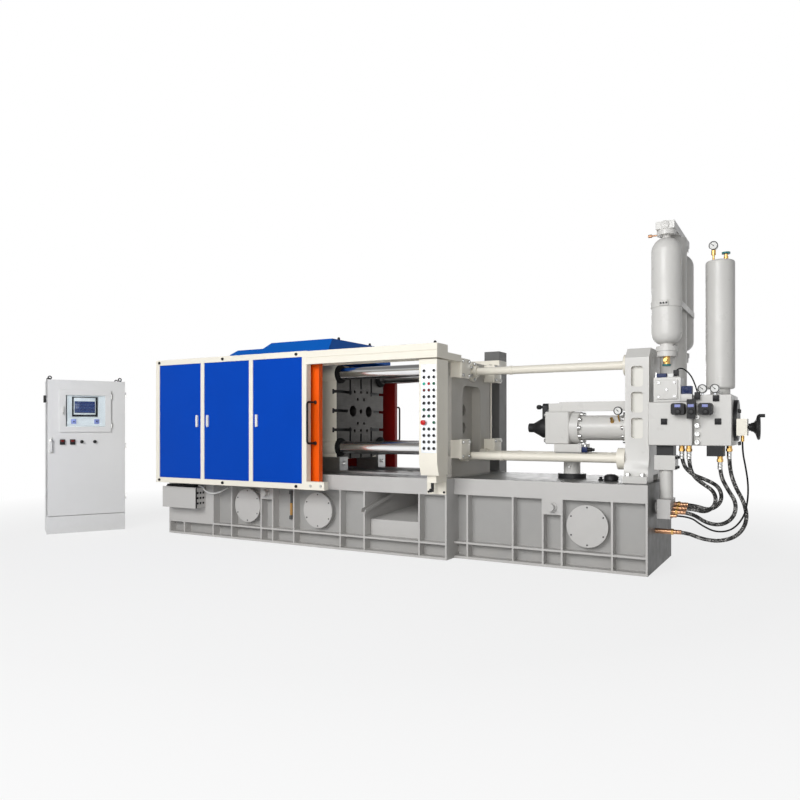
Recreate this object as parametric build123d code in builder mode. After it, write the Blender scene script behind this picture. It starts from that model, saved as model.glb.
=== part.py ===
"""Cold chamber die casting machine with its control cabinet, in millimetres.

X runs along the machine towards the injection end, the operator stands on
the -Y side, Z is up and the floor is Z = 0.
"""
import os
from math import acos, cos, pi, radians, sin, tan

from build123d import *

os.makedirs("parts", exist_ok=True)

# Plates of the two ribbed bases
bed_z = 650.0
clamp_half = 600.0
inj_half = 470.0
rib_t = 16.0
rib_depth = 80.0
sole_t = 20.0
stringer_z = 120.0
beam_h = 132.0
beam_inner = 210.0
boss_plate_h = 118.0

# Bays of the clamping base, left to right
panel_bay = 620.0
plain_bay = 244.0
cover_bay = 372.0
boss_bay = 140.0
gauge_bay = 248.0
wide_bay = 517.0
short_bay = 252.0
chute_bay = 540.0
end_bay = 247.0

# Bays of the injection base, left to right
inj_first_bay = 127.0
inj_open_bay = 393.0
inj_plain_bay = 246.0
inj_boss_bay = 150.0
inj_cover_bay = 379.0
inj_end_bay = 247.0

# Tie bars and platens
open_x = -112.0
daylight = 977.0
chute_in = 18.0
bar_dia = 110.0
bar_pitch = 668.0
bar_rise = 568.0
platen_half = 388.0
platen_t = 200.0
platen_over = 113.0
platen_cap = 30.0
platen_under = 109.0
platen_round = 36.0
boss_r = 80.0
run_gap = 0.1
nut_len = 100.0
nut_w = 152.0
way_t = 22.0
way_inner = 255.0
way_outer = 380.0
way_past = 60.0
shoe_gap = 0.3
shoe_h = 122.0
shoe_past = 30.0

# T slots and ejector holes of the platens
slot_w = 26.0
slot_head = 44.0
slot_neck = 26.0
slot_depth = 48.0
slot_grid = 175.0
slot_stop = 212.0
eject_r = 52.0
eject_y = 132.0
pin_r = 15.0
pin_y = 104.0
pin_rise = 184.0
pin_side_rise = 114.0
pin_side_y = 52.0
centre_r = 22.0

# Guards, rails and doors
guard_y = 836.0
guard_in = 90.0
guard_past = 17.0
guard_drop = 118.0
guard_depth = 60.0
guard_lip = 4.0
guide_long = 188.0
guide_tall = 70.0
stile_w = 50.0
mullion_w = 46.0
panel_t = 18.0
panel_set = 6.0
panel_count = 3
foot_len = 150.0
toggle_in = 180.0
latch_in = 46.0
latch_w = 24.0
latch_h = 112.0
latch_t = 14.0
door_y = 740.0
door_t = 50.0
door_show = 60.0
door_len = 1125.0
door_lift = 55.0
door_lap = 40.0
door_sheet = 6.0
rear_door_back = 125.0
hang_gap = 0.4
hanger_len = 90.0
pull_r = 9.0
pull_len = 353.0
pull_rise = 340.0
pull_out = 110.0
pull_in = 40.0
pull_bend = 24.0
rail_over = 48.0
rail_h = 113.0
rail_back = 655.0
rail_wall = 24.0
rail_past = 106.0
tier_h = 55.0
tier_groove = 4.0
column_w = 159.0
column_d = 180.0
column_lift = 40.0
column_gap = 12.0
column_taper = 28.0
column_taper_h = 95.0
neck_in = 40.0
neck_d = 60.0
foot_plate_t = 12.0
foot_plate_h = 135.0
button_t = 3.0
button_in = 22.0
button_edge = 6.0
button_low = 176.0
button_top = 52.0
rear_post_rise = 87.0

# Hood over the clamping unit
hood_half = 530.0
hood_crown = 450.0
hood_eave = 12.0
hood_step_h = 98.0
hood_top_h = 151.0
hood_in = 650.0
hood_long = 798.0
hood_slope = 80.0
hood_slope_h = 40.0
hood_wall = 6.0

# Injection unit
shot_drop = 158.0
sleeve_r = 50.0
pocket_depth = 85.0
pocket_half = 180.0
pocket_up = 15.0
pocket_down = 210.0
pocket_round = 70.0
frame_bar_dia = 68.0
lower_bar_drop = 60.0
lower_bar_y = 200.0
bar_flange_r = 82.0
bar_flange_t = 60.0
bar_collar_r = 50.0
seam_len = 26.0
seam_h = 4.0
col_set = 36.0
inj_col_t = 176.0
inj_col_half = 250.0
inj_col_over = 108.0
inj_col_chamfer = 75.0
inj_col_flare = 40.0
flare_h = 60.0
inj_foot_h = 50.0
inj_foot_w = 200.0
inj_foot_out = 42.0
col_pocket_up = 260.0
col_pocket_down = 120.0
col_pocket_edge = 44.0
col_pocket_depth = 40.0
col_pocket_web = 40.0
col_pocket_round = 20.0
col_pocket_count = 3
barrel_len = 475.0
head_len = 200.0
head_w = 262.0
head_chamfer = 8.0
flange_len = 68.0
flange_dia = 258.0
barrel_dia = 200.0
end_ring_len = 44.0
rod_dia = 62.0
rod_gap = 12.0
shot_stroke = 400.0
rod_stay = 80.0
bore_end = 40.0
cone_len = 128.0
cone_tip_dia = 76.0
cone_tip_len = 40.0
cone_dia = 166.0
cone_back = 45.0
arm_w = 60.0
arm_over = 36.0
sensor_rise = 172.0
sensor_r = 14.0
guide_w = 72.0
guide_h = 76.0
guide_in = 90.0
saddle_in = 75.0
saddle_len = 225.0
saddle_w = 240.0
saddle_h = 82.0
saddle_chamfer = 20.0
jack_r = 67.0
jack_ring_r = 114.0
jack_ring_h = 40.0

# Hydraulic end
man_len = 309.0
man_under = 130.0
man_over = 187.0
manifold_half = 290.0
man_chamfer = 5.0
side_len = 255.0
side_rise = 49.0
side_half = 230.0
end_flange_t = 26.0
end_flange_r = 150.0
valve_in = 40.0
valve_gap = 4.0
valve_d = 165.0
valve_h = 178.0
valve_plate_t = 14.0
valve_plate_in = 20.0
coil_out = 85.0
coil_w = 92.0
coil_h = 84.0
coil_round = 18.0
coil_in = 88.0
coil_down = 55.0
plug_w = 55.0
plug_h = 137.0
plug_out = 70.0
under_w = 110.0
under_d = 150.0
under_h = 75.0
pilot_w = 70.0
pilot_h = 60.0
pilot_base_h = 52.0
gauge_r = 32.0
gauge_t = 28.0
gauge_stem_r = 8.0
gauge_rise = 44.0
gauge_step = 84.0
bottle_in = 131.0
bottle_y = 280.0
bottle_dia = 214.0
bottle_rise = 418.0
bottle_len = 775.0
bottle_end = 77.0
collar_h = 50.0
collar_r = 68.0
neck_h = 90.0
bridge_h = 56.0
bridge_w = 132.0
strap_t = 5.0
strap_rise = 261.0
strap_h = 44.0
piston_dia = 196.0
brass_r = 24.0
brass_len = 55.0
tap_r = 12.0
tap_len = 62.0
tank_gauge_out = 46.0
tank_gauge_rise = 119.0
tank_valve_out = 40.0
valve_wheel_r = 30.0
valve_wheel_t = 12.0
tank_in = 100.0
tank_y = 0.0
tank_dia = 204.0
tank_rise = 49.0
tank_len = 945.0
tank_end = 18.0
tank_neck_r = 70.0
wheel_y = -120.0
wheel_rise = 3.0
wheel_r = 90.0
wheel_rim_r = 9.0
wheel_box = 60.0
wheel_box_d = 70.0
shaft_r = 12.0
shaft_in = 46.0
wheel_out = 140.0
hub_r = 26.0
hub_gap = 6.0
spoke_t = 8.0
spoke_w = 18.0
knob_len = 32.0

# Return pipe, fittings, hoses and cable
pipe_in = 110.0
pipe_y = -170.0
pipe_r = 48.0
pipe_spacer = 60.0
pipe_spacer_h = 73.0
pipe_block = 73.0
pipe_block_h = 107.0
header_rise = 250.0
header_h = 140.0
header_back = 40.0
header_front = 54.0
header_near = 150.0
header_far = 60.0
nipple_r = 19.0
nipple_len = 42.0
hose_dia = 28.0
cable_dia = 12.0
drain_rise = 295.0
drain_y = -200.0
drain_len = 132.0

# Control cabinet, turned to face the operator's place
cab_away = 1051.0
cab_out = 439.0
cab_turn = 60.0
cab_w = 716.0
cab_d = 400.0
cab_h = 1545.0
cab_wall = 3.0
plinth_h = 178.0
cab_gap = 6.0
cab_plate_gap = 40.0
cab_plate_t = 24.0
door_panel_t = 22.0
door_skin = 3.0
hinge_gap = 0.5
win_in = 113.0
win_w = 469.0
win_down = 98.0
win_h = 428.0
win_t = 16.0
win_edge = 56.0
glass_t = 4.0
glass_in = 4.0
screen_edge = 50.0
screen_lift = 4.0
bezel_in = 64.0
bezel_low = 108.0
bezel_w = 227.0
bezel_h = 196.0
handle_in = 22.0
handle_w = 20.0
handle_len = 130.0
handle_out = 26.0
handle_rise = 820.0

# Places along the machine
fixed_x = open_x + daylight
fixed_back = fixed_x + platen_t
open_back = open_x - platen_t
chute_right = fixed_x + chute_in
clamp_bays = (panel_bay, plain_bay, cover_bay, boss_bay, gauge_bay, wide_bay, short_bay, chute_bay, end_bay)
clamp_right = chute_right + end_bay
clamp_left = clamp_right - sum(clamp_bays)
clamp_ribs = [clamp_left]
for bay in clamp_bays:
    clamp_ribs.append(clamp_ribs[-1] + bay)
chute_left = chute_right - chute_bay
inj_bays = (inj_first_bay, inj_open_bay, inj_plain_bay, inj_boss_bay, inj_cover_bay, inj_end_bay)
inj_ribs = [clamp_right]
for bay in inj_bays:
    inj_ribs.append(inj_ribs[-1] + bay)
inj_right = inj_ribs[-1]
guard_left = clamp_left + guard_in
guard_right = open_x + guard_past
rear_guard_right = guard_right - rear_door_back
toggle_x = guard_left + toggle_in
toggle_back = toggle_x - platen_t
door_edge = guard_right + door_show
rail_right = fixed_back + rail_past
column_x = rail_right - column_w
inj_col_x = inj_right - col_set - inj_col_t
man_x = inj_right - col_set
manifold_x = man_x + man_len
side_x = manifold_x + side_len
end_flange_x = side_x + end_flange_t
head_x = inj_col_x - barrel_len - head_len
bottle_x = man_x + bottle_in
tank_x = side_x - tank_in
pipe_x = man_x + pipe_in
valve_w = man_len - valve_in - pilot_w - man_chamfer - valve_gap

# Places across and up
clamp_wall = clamp_half - rib_depth
inj_wall = inj_half - rib_depth
beam_z = bed_z - beam_h
boss_low = beam_z - boss_plate_h
bay_low = stringer_z + rib_t
bar_r = bar_dia / 2
bar_y = bar_pitch / 2
bar_z = bed_z + bar_rise
bar_low = bar_z - bar_y
bar_high = bar_z + bar_y
platen_top = bar_high + platen_over - platen_cap
platen_low = bar_low - platen_under
shoe_low = bed_z + way_t + shoe_gap
shoe_top = bed_z + shoe_h + way_t
rail_top = bar_high + platen_over + rail_over
rail_low = rail_top - rail_h
rail_roof = rail_top - rail_wall
guard_top = rail_top + guard_lip
guard_low = bed_z - guard_drop
door_low = guard_low + door_lift
door_top = rail_low + door_lap
column_low = bed_z + column_lift
column_top = rail_low - column_gap
shot_z = bar_z - shot_drop
sensor_z = shot_z + sensor_rise
upper_bar_z = bar_high
lower_bar_z = bar_low - lower_bar_drop
inj_col_low = bed_z + inj_foot_h
inj_col_top = upper_bar_z + inj_col_over
manifold_low = shot_z - man_under
manifold_top = shot_z + man_over
side_top = manifold_top + side_rise
bottle_low = manifold_top + bottle_rise
bottle_top = bottle_low + bottle_len
bridge_z = bottle_top + collar_h
tank_low = side_top + tank_rise
tank_top = tank_low + tank_len
wheel_z = shot_z + wheel_rise
cab_x = guard_left - cab_away
cab_y = -guard_y - cab_out
header_low = bed_z - header_rise


def block(x0, x1, y0, y1, z0, z1, mode=Mode.ADD):
    """Straight block between two corners."""
    with Locations(((x0 + x1) / 2, (y0 + y1) / 2, (z0 + z1) / 2)):
        Box(abs(x1 - x0), abs(y1 - y0), abs(z1 - z0), mode=mode)


def round_x(x0, x1, y, z, r, mode=Mode.ADD):
    """Round bar or hole along X."""
    with Locations(Location(((x0 + x1) / 2, y, z), (0, 90, 0))):
        Cylinder(r, abs(x1 - x0), mode=mode)


def round_y(y0, y1, x, z, r, mode=Mode.ADD):
    """Round bar or hole along Y."""
    with Locations(Location((x, (y0 + y1) / 2, z), (90, 0, 0))):
        Cylinder(r, abs(y1 - y0), mode=mode)


def round_z(z0, z1, x, y, r, mode=Mode.ADD):
    """Round bar or hole along Z."""
    with Locations((x, y, (z0 + z1) / 2)):
        Cylinder(r, abs(z1 - z0), mode=mode)


def slot_along_y(face, into, y0, y1, z):
    """T slot across a platen face, cut from the face into the metal."""
    neck = face + into * slot_neck
    block(face, neck, y0, y1, z - slot_w / 2, z + slot_w / 2, mode=Mode.SUBTRACT)
    block(neck, face + into * slot_depth, y0, y1, z - slot_head / 2, z + slot_head / 2, mode=Mode.SUBTRACT)


def slot_along_z(face, into, z0, z1, y):
    """T slot up a platen face, cut from the face into the metal."""
    neck = face + into * slot_neck
    block(face, neck, y - slot_w / 2, y + slot_w / 2, z0, z1, mode=Mode.SUBTRACT)
    block(neck, face + into * slot_depth, y - slot_head / 2, y + slot_head / 2, z0, z1, mode=Mode.SUBTRACT)


def save(builder, name):
    """Name a finished piece and write it out."""
    builder.part.label = name
    export_step(builder.part, "parts/" + name + ".step")


# Clamping base: a welded tank with ribbed sides, open below the die space
with BuildPart() as clamp_base:
    block(clamp_left, clamp_right, -clamp_wall, clamp_wall, 0, bed_z)
    for side in (-1, 1):
        with BuildSketch(Plane.XZ.offset(-side * clamp_wall)):
            with Locations(((clamp_left + clamp_right) / 2, bed_z / 2)):
                Rectangle(clamp_right - clamp_left, bed_z)
            third = clamp_left + panel_bay / 3
            for x0, x1 in ((clamp_left + rib_t, third), (third + rib_t, clamp_ribs[1] - rib_t)):
                with Locations(((x0 + x1) / 2, (sole_t + stringer_z) / 2)):
                    Rectangle(x1 - x0, stringer_z - sole_t, mode=Mode.SUBTRACT)
            for i in range(1, len(clamp_bays)):
                x0 = clamp_ribs[i]
                x1 = clamp_ribs[i + 1] - rib_t
                top = boss_low if clamp_bays[i] == boss_bay else beam_z
                with Locations(((x0 + x1) / 2, (sole_t + stringer_z) / 2)):
                    Rectangle(x1 - x0, stringer_z - sole_t, mode=Mode.SUBTRACT)
                with Locations(((x0 + x1) / 2, (bay_low + top) / 2)):
                    Rectangle(x1 - x0, top - bay_low, mode=Mode.SUBTRACT)
        extrude(amount=-side * rib_depth)
    x1 = chute_right - rib_t
    block(chute_left, x1, -clamp_half, clamp_wall - rib_t, bay_low, beam_z, mode=Mode.SUBTRACT)
    block(chute_left, x1, -beam_inner, beam_inner, bay_low, bed_z, mode=Mode.SUBTRACT)
save(clamp_base, "clamp_base")

# Injection base: the narrower ribbed tank under the shot unit
with BuildPart() as injection_base:
    block(clamp_right, inj_right, -inj_wall, inj_wall, 0, bed_z)
    for side in (-1, 1):
        with BuildSketch(Plane.XZ.offset(-side * inj_wall)):
            with Locations(((clamp_right + inj_right) / 2, bed_z / 2)):
                Rectangle(inj_right - clamp_right, bed_z)
            for i in range(len(inj_bays)):
                x0 = inj_ribs[i]
                x1 = inj_ribs[i + 1] - rib_t
                top = boss_low if inj_bays[i] == inj_boss_bay else beam_z
                with Locations(((x0 + x1) / 2, (sole_t + stringer_z) / 2)):
                    Rectangle(x1 - x0, stringer_z - sole_t, mode=Mode.SUBTRACT)
                with Locations(((x0 + x1) / 2, (bay_low + top) / 2)):
                    Rectangle(x1 - x0, top - bay_low, mode=Mode.SUBTRACT)
        extrude(amount=-side * rib_depth)
save(injection_base, "injection_base")

# Round inspection covers in the bays of both bases, each a neck and a thick disc
cover_rim = 20.0
cover_neck = 44.0
cover_t = 18.0
cover_lap = 14.0
cover_z = (bay_low + beam_z) / 2
cover_r = min(cover_bay - rib_t, inj_cover_bay - rib_t, beam_z - bay_low) / 2 - cover_rim
cover_places = (
    (clamp_wall, clamp_ribs[3] - (cover_bay + rib_t) / 2),
    (clamp_wall, clamp_ribs[6] - (wide_bay + rib_t) / 2),
    (inj_wall, inj_ribs[5] - (inj_cover_bay + rib_t) / 2),
)
with BuildPart() as inspection_covers:
    for wall, x in cover_places:
        for side in (-1, 1):
            round_y(side * wall, side * (wall + cover_neck), x, cover_z, cover_r - cover_lap)
            round_y(side * (wall + cover_neck), side * (wall + cover_neck + cover_t), x, cover_z, cover_r)
save(inspection_covers, "inspection_covers")

# Lifting studs on the boss plates
stud_r = 28.0
stud_len = 48.0
stud_ring = 12.0
stud_ring_t = 10.0
stud_z = (boss_low + beam_z) / 2
stud_places = (
    (clamp_half, clamp_ribs[4] - (boss_bay + rib_t) / 2),
    (inj_half, inj_ribs[4] - (inj_boss_bay + rib_t) / 2),
)
with BuildPart() as lifting_studs:
    for face, x in stud_places:
        for side in (-1, 1):
            round_y(side * face, side * (face + stud_len), x, stud_z, stud_r)
            round_y(side * face, side * (face + stud_ring_t), x, stud_z, stud_r + stud_ring)
save(lifting_studs, "lifting_studs")

# Oil level gauge: a sight tube between two end blocks on a back plate
sight_w = 30.0
sight_plate_t = 6.0
sight_end = 34.0
sight_r = 10.0
sight_rise = 86.0
sight_drop = 32.0
sight_low = bay_low + sight_rise
sight_top = beam_z - sight_drop
sight_x = clamp_ribs[5] - gauge_bay / 3
with BuildPart() as level_gauge:
    y_back = -clamp_wall
    y_plate = y_back - sight_plate_t
    y_front = y_plate - sight_w
    block(sight_x - sight_w / 2, sight_x + sight_w / 2, y_plate, y_back, sight_low, sight_top)
    for z0, z1 in ((sight_low, sight_low + sight_end), (sight_top - sight_end, sight_top)):
        block(sight_x - sight_w / 2, sight_x + sight_w / 2, y_front, y_plate, z0, z1)
    round_z(sight_low, sight_top, sight_x, (y_plate + y_front) / 2, sight_r)
save(level_gauge, "level_gauge")

# Terminal box with its lid on the panel of the clamping base
box_w = 452.0
box_h = 196.0
box_d = 122.0
box_in = 60.0
box_down = 38.0
lid_t = 8.0
lid_lap = 4.0
with BuildPart() as terminal_box:
    x0 = clamp_left + box_in
    z1 = beam_z - box_down
    y_lid = -clamp_half - box_d
    block(x0, x0 + box_w, y_lid, -clamp_half, z1 - box_h, z1)
    block(x0 - lid_lap, x0 + box_w + lid_lap, y_lid - lid_t, y_lid, z1 - box_h - lid_lap, z1 + lid_lap)
save(terminal_box, "terminal_box")

# Sloping chute pan below the die space, and the drain channel beside it
tray_t = 8.0
tray_clear = 4.0
tray_knee_y = 360.0
tray_knee_z = 144.0
tray_back_z = 210.0
tray_bend = 60.0
drain_w = 44.0
drain_h = 34.0
drain_t = 4.0
drain_past = 66.0
drain_low = 222.0
with BuildPart() as chute_tray:
    front_y = -clamp_half + tray_clear
    back_y = clamp_wall - rib_t - tray_clear
    tray_end = chute_right - rib_t - tray_clear
    with BuildSketch(Plane.YZ.offset(chute_left + tray_clear)):
        with BuildLine():
            FilletPolyline(
                (back_y, bay_low + tray_back_z),
                (-tray_knee_y, bay_low + tray_knee_z),
                (front_y, bay_low + 2 * tray_t),
                radius=tray_bend,
            )
            offset(amount=tray_t, side=Side.LEFT)
        make_face()
    extrude(amount=chute_right - rib_t - chute_left - 2 * tray_clear)
    block(chute_left + tray_clear, tray_end, front_y, front_y + tray_t, bay_low, bay_low + 2 * tray_t)
    block(chute_left + tray_clear, tray_end, back_y - tray_t, back_y, bay_low, bay_low + tray_back_z)
    y0 = -clamp_half - drain_past
    y1 = -beam_inner
    z0 = bay_low + drain_low
    z1 = beam_z - drain_h - tray_clear
    with BuildSketch(Plane.YZ.offset(chute_left)):
        with BuildLine():
            Polyline((y0, z0), (y1, z1), (y1, z1 + drain_h), (y0, z0 + drain_h), close=True)
        make_face()
    extrude(amount=drain_w)
    with BuildSketch(Plane.YZ.offset(chute_left + drain_t)):
        with BuildLine():
            Polyline(
                (y0, z0 + drain_t),
                (y1, z1 + drain_t),
                (y1, z1 + drain_h),
                (y0, z0 + drain_h),
                close=True,
            )
        make_face()
    extrude(amount=drain_w - 2 * drain_t, mode=Mode.SUBTRACT)
save(chute_tray, "chute_tray")

# Hardened ways under the sliding platen
with BuildPart() as bed_ways:
    for side in (-1, 1):
        block(toggle_back - way_past, fixed_x, side * way_inner, side * way_outer, bed_z, bed_z + way_t)
save(bed_ways, "bed_ways")

# Tie bars
bar_chamfer = 8.0
with BuildPart() as tie_bars:
    for y in (-bar_y, bar_y):
        for z in (bar_low, bar_high):
            round_x(toggle_back - nut_len, fixed_back + nut_len, y, z, bar_r)
    chamfer(tie_bars.edges().filter_by(GeomType.CIRCLE), bar_chamfer)
save(tie_bars, "tie_bars")

# Sliding platen: bosses on the bars, L-shaped T slots, ejector holes and shoes
with BuildPart() as movable_platen:
    with BuildSketch(Plane.YZ.offset(open_back)):
        with Locations((0, (platen_low + platen_top) / 2)):
            RectangleRounded(2 * platen_half, platen_top - platen_low, platen_round)
        with Locations((0, bar_z)):
            with GridLocations(bar_pitch, bar_pitch, 2, 2):
                Circle(boss_r)
                Circle(bar_r + run_gap, mode=Mode.SUBTRACT)
            Circle(centre_r, mode=Mode.SUBTRACT)
            with GridLocations(2 * eject_y, 0, 2, 1):
                Circle(eject_r, mode=Mode.SUBTRACT)
            with GridLocations(pin_y, 2 * pin_rise, 3, 2):
                Circle(pin_r, mode=Mode.SUBTRACT)
            with GridLocations(2 * pin_side_y, 2 * pin_side_rise, 2, 2):
                Circle(pin_r, mode=Mode.SUBTRACT)
    extrude(amount=platen_t)
    for side in (-1, 1):
        x0 = open_back - shoe_past
        x1 = open_x + shoe_past
        block(x0, x1, side * way_inner, side * way_outer, shoe_low, shoe_top)
        edge = side * (platen_half + boss_r)
        slot_along_y(open_x, -1, side * slot_stop, edge, bar_z)
        for level in (-1, 1):
            slot_along_y(open_x, -1, side * (slot_grid - slot_head / 2), edge, bar_z + level * slot_grid)
    for y in (-slot_grid, slot_grid):
        slot_along_z(open_x, -1, bar_z + slot_grid - slot_head / 2, platen_top, y)
        slot_along_z(open_x, -1, platen_low, bar_z - slot_grid + slot_head / 2, y)
    slot_along_z(open_x, -1, bar_z + slot_stop, platen_top, 0)
    slot_along_z(open_x, -1, platen_low, bar_z - slot_stop, 0)
save(movable_platen, "movable_platen")

# Fixed platen with T slots, shot sleeve holes and the rear pocket
with BuildPart() as fixed_platen:
    with BuildSketch(Plane.YZ.offset(fixed_x)):
        with Locations((0, (bed_z + platen_top) / 2)):
            Rectangle(2 * platen_half, platen_top - bed_z)
        with Locations((0, bar_z)):
            with GridLocations(bar_pitch, bar_pitch, 2, 2):
                Circle(boss_r)
                Circle(bar_r, mode=Mode.SUBTRACT)
            Circle(sleeve_r, mode=Mode.SUBTRACT)
        with Locations((0, shot_z)):
            Circle(sleeve_r, mode=Mode.SUBTRACT)
    extrude(amount=platen_t)
    with BuildSketch(Plane.YZ.offset(fixed_back)):
        pocket_low = platen_low + pocket_up
        pocket_top = platen_top - pocket_down
        with Locations((0, (pocket_low + pocket_top) / 2)):
            RectangleRounded(2 * pocket_half, pocket_top - pocket_low, pocket_round)
    extrude(amount=-pocket_depth, mode=Mode.SUBTRACT)
    for side in (-1, 1):
        edge = side * (platen_half + boss_r)
        for level in (-1, 0, 1):
            slot_along_y(fixed_x, 1, side * slot_stop, edge, bar_z + level * slot_grid)
save(fixed_platen, "fixed_platen")

# Toggle end platen that carries the other ends of the tie bars
with BuildPart() as toggle_platen:
    with BuildSketch(Plane.YZ.offset(toggle_back)):
        with Locations((0, (bed_z + way_t + platen_top) / 2)):
            Rectangle(2 * platen_half, platen_top - bed_z - way_t)
        with Locations((0, bar_z)):
            with GridLocations(bar_pitch, bar_pitch, 2, 2):
                Circle(boss_r)
                Circle(bar_r, mode=Mode.SUBTRACT)
    extrude(amount=platen_t)
save(toggle_platen, "toggle_platen")

# Clamping nuts on both ends of the tie bars
nut_r = nut_w / 2
with BuildPart() as tie_bar_nuts:
    for y in (-bar_y, bar_y):
        for z in (bar_low, bar_high):
            block(fixed_back, fixed_back + nut_len, y - nut_r, y + nut_r, z - nut_r, z + nut_r)
            round_x(fixed_back, fixed_back + nut_len, y, z, bar_r, mode=Mode.SUBTRACT)
            round_x(toggle_back - nut_len, toggle_back, y, z, nut_r)
            round_x(toggle_back - nut_len, toggle_back, y, z, bar_r, mode=Mode.SUBTRACT)
save(tie_bar_nuts, "tie_bar_nuts")

# Closing cylinder behind the toggle platen
close_r = 150.0
close_len = 420.0
close_flange = 50.0
close_flange_t = 60.0
close_cap = 16.0
with BuildPart() as closing_cylinder:
    round_x(toggle_back - close_len, toggle_back, 0, bar_z, close_r)
    round_x(toggle_back - close_flange_t, toggle_back, 0, bar_z, close_r + close_flange)
    round_x(toggle_back - close_len, toggle_back - close_len + close_flange_t, 0, bar_z, close_r + close_cap)
save(closing_cylinder, "closing_cylinder")

# Guard frames on both sides, with mullions, end returns, top returns and lower door guides
panel_low = guard_low + stile_w
panel_high = guard_top - stile_w
sides = ((-1, guard_right), (1, rear_guard_right))
with BuildPart() as guard_frames:
    for side, right in sides:
        y_in = side * (guard_y - guard_depth)
        bay_w = (right - guard_left - 2 * stile_w - (panel_count - 1) * mullion_w) / panel_count
        with BuildSketch(Plane.XZ.offset(-side * guard_y)):
            with Locations(((guard_left + right) / 2, (guard_low + guard_top) / 2)):
                Rectangle(right - guard_left, guard_top - guard_low)
                with GridLocations(bay_w + mullion_w, 0, panel_count, 1):
                    Rectangle(bay_w, panel_high - panel_low, mode=Mode.SUBTRACT)
        extrude(amount=side * guard_depth)
        block(guard_left, right, side * hood_half, y_in, guard_top - panel_t, guard_top)
        block(guard_left, guard_left + panel_t, side * (bar_y + boss_r + shoe_gap), y_in, bed_z, guard_top)
        block(guard_left, guard_left + foot_len, side * clamp_half, y_in, guard_low, guard_low + stile_w)
        block(right - foot_len, right, side * clamp_half, y_in, guard_low, guard_low + stile_w)
        block(right, right + guide_long, side * guard_y, y_in, guard_low, guard_low + guide_tall)
save(guard_frames, "guard_frames")

# Lift-off blue panels in the guard frames, and their latches
with BuildPart() as guard_panels:
    for side, right in sides:
        bay_w = (right - guard_left - 2 * stile_w - (panel_count - 1) * mullion_w) / panel_count
        y_face = side * (guard_y - panel_set)
        for i in range(panel_count):
            x0 = guard_left + stile_w + i * (bay_w + mullion_w)
            block(x0, x0 + bay_w, y_face, y_face - side * panel_t, panel_low, panel_high)
save(guard_panels, "guard_panels")

with BuildPart() as panel_latches:
    for side, right in sides:
        bay_w = (right - guard_left - 2 * stile_w - (panel_count - 1) * mullion_w) / panel_count
        y_face = side * (guard_y - panel_set)
        for i in range(panel_count):
            x0 = guard_left + stile_w + i * (bay_w + mullion_w)
            x = x0 + bay_w - latch_in if i == 0 else x0 + latch_in
            with BuildSketch(Plane.XZ.offset(-y_face)):
                with Locations((x, (panel_low + panel_high) / 2)):
                    SlotOverall(latch_h, latch_w, rotation=90)
            extrude(amount=-side * latch_t)
save(panel_latches, "panel_latches")

# Stepped hood over the toggle, with sloping long sides
hood_low = guard_top - panel_t
hood_step = guard_top + hood_step_h
hood_top = guard_top + hood_top_h
hood_left = guard_left + hood_in
hood_right = open_x
hood_mid = hood_right - hood_long
with BuildPart() as top_hood:
    with BuildSketch(Plane.XZ.offset(-hood_half)):
        with BuildLine():
            Polyline(
                (hood_left, hood_low),
                (hood_left, hood_step - hood_slope_h),
                (hood_left + hood_slope, hood_step),
                (hood_mid, hood_step),
                (hood_mid + hood_slope, hood_top),
                (hood_right, hood_top),
                (hood_right, hood_low),
                close=True,
            )
        make_face()
    extrude(amount=2 * hood_half)
    with BuildSketch(Plane.YZ.offset(hood_left)):
        with BuildLine():
            Polyline(
                (-hood_half, hood_low),
                (-hood_half, guard_top + hood_eave),
                (-hood_crown, hood_top),
                (hood_crown, hood_top),
                (hood_half, guard_top + hood_eave),
                (hood_half, hood_low),
                close=True,
            )
        make_face()
    extrude(amount=hood_right - hood_left, mode=Mode.INTERSECT)
    offset(amount=-hood_wall, openings=top_hood.faces().sort_by(Axis.Z)[:1])
save(top_hood, "top_hood")

# Two-tier top rails that carry the sliding doors and run on behind the guards
with BuildPart() as door_rails:
    for side, start in sides:
        right = start + rail_right - guard_right
        y_out = side * guard_y
        y_in = side * rail_back
        y_slot = side * (guard_y - rail_wall)
        y_wall = side * (rail_back + rail_wall)
        block(start, right, y_out, y_in, rail_low, rail_top)
        block(start, right - rail_wall, y_slot, y_wall, rail_low, rail_roof, mode=Mode.SUBTRACT)
        z_line = rail_low + tier_h
        y_line = y_out - side * tier_groove
        block(start, right, y_out, y_line, z_line, z_line + tier_groove, mode=Mode.SUBTRACT)
        block(right - column_w, right, y_in, side * (bar_y + boss_r), rail_low, rail_low + tier_h)
        y_guard = side * (guard_y - guard_depth)
        block(start - door_len, start, y_guard, y_in, rail_roof, guard_top - panel_t)
        block(start - door_len, start, y_wall, y_in, rail_low, rail_roof)
save(door_rails, "door_rails")

# Operator's control column with its foot plate on the base
with BuildPart() as operator_column:
    with BuildSketch(Plane.YZ.offset(column_x)):
        with BuildLine():
            Polyline(
                (-guard_y, column_low + column_taper_h),
                (-guard_y + column_taper, column_low),
                (-guard_y + column_d, column_low),
                (-guard_y + column_d, column_top),
                (-guard_y, column_top),
                close=True,
            )
        make_face()
    extrude(amount=column_w)
    x0 = column_x + neck_in
    x1 = rail_right - neck_in
    block(x0, x1, -guard_y + neck_d, -guard_y + 2 * neck_d, column_top, rail_low)
    block(x0, x1, -guard_y + neck_d, -clamp_half, column_low - neck_d, column_low)
    plate_top = bed_z + foot_plate_t
    block(x0, clamp_right, -clamp_half - foot_plate_t, -clamp_half, plate_top - foot_plate_h, plate_top)
save(operator_column, "operator_column")

with BuildPart() as button_plate:
    x0 = column_x + button_in
    z0 = column_low + button_low
    block(x0, rail_right - button_edge, -guard_y - button_t, -guard_y, z0, rail_low - button_top)
save(button_plate, "button_plate")

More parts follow.
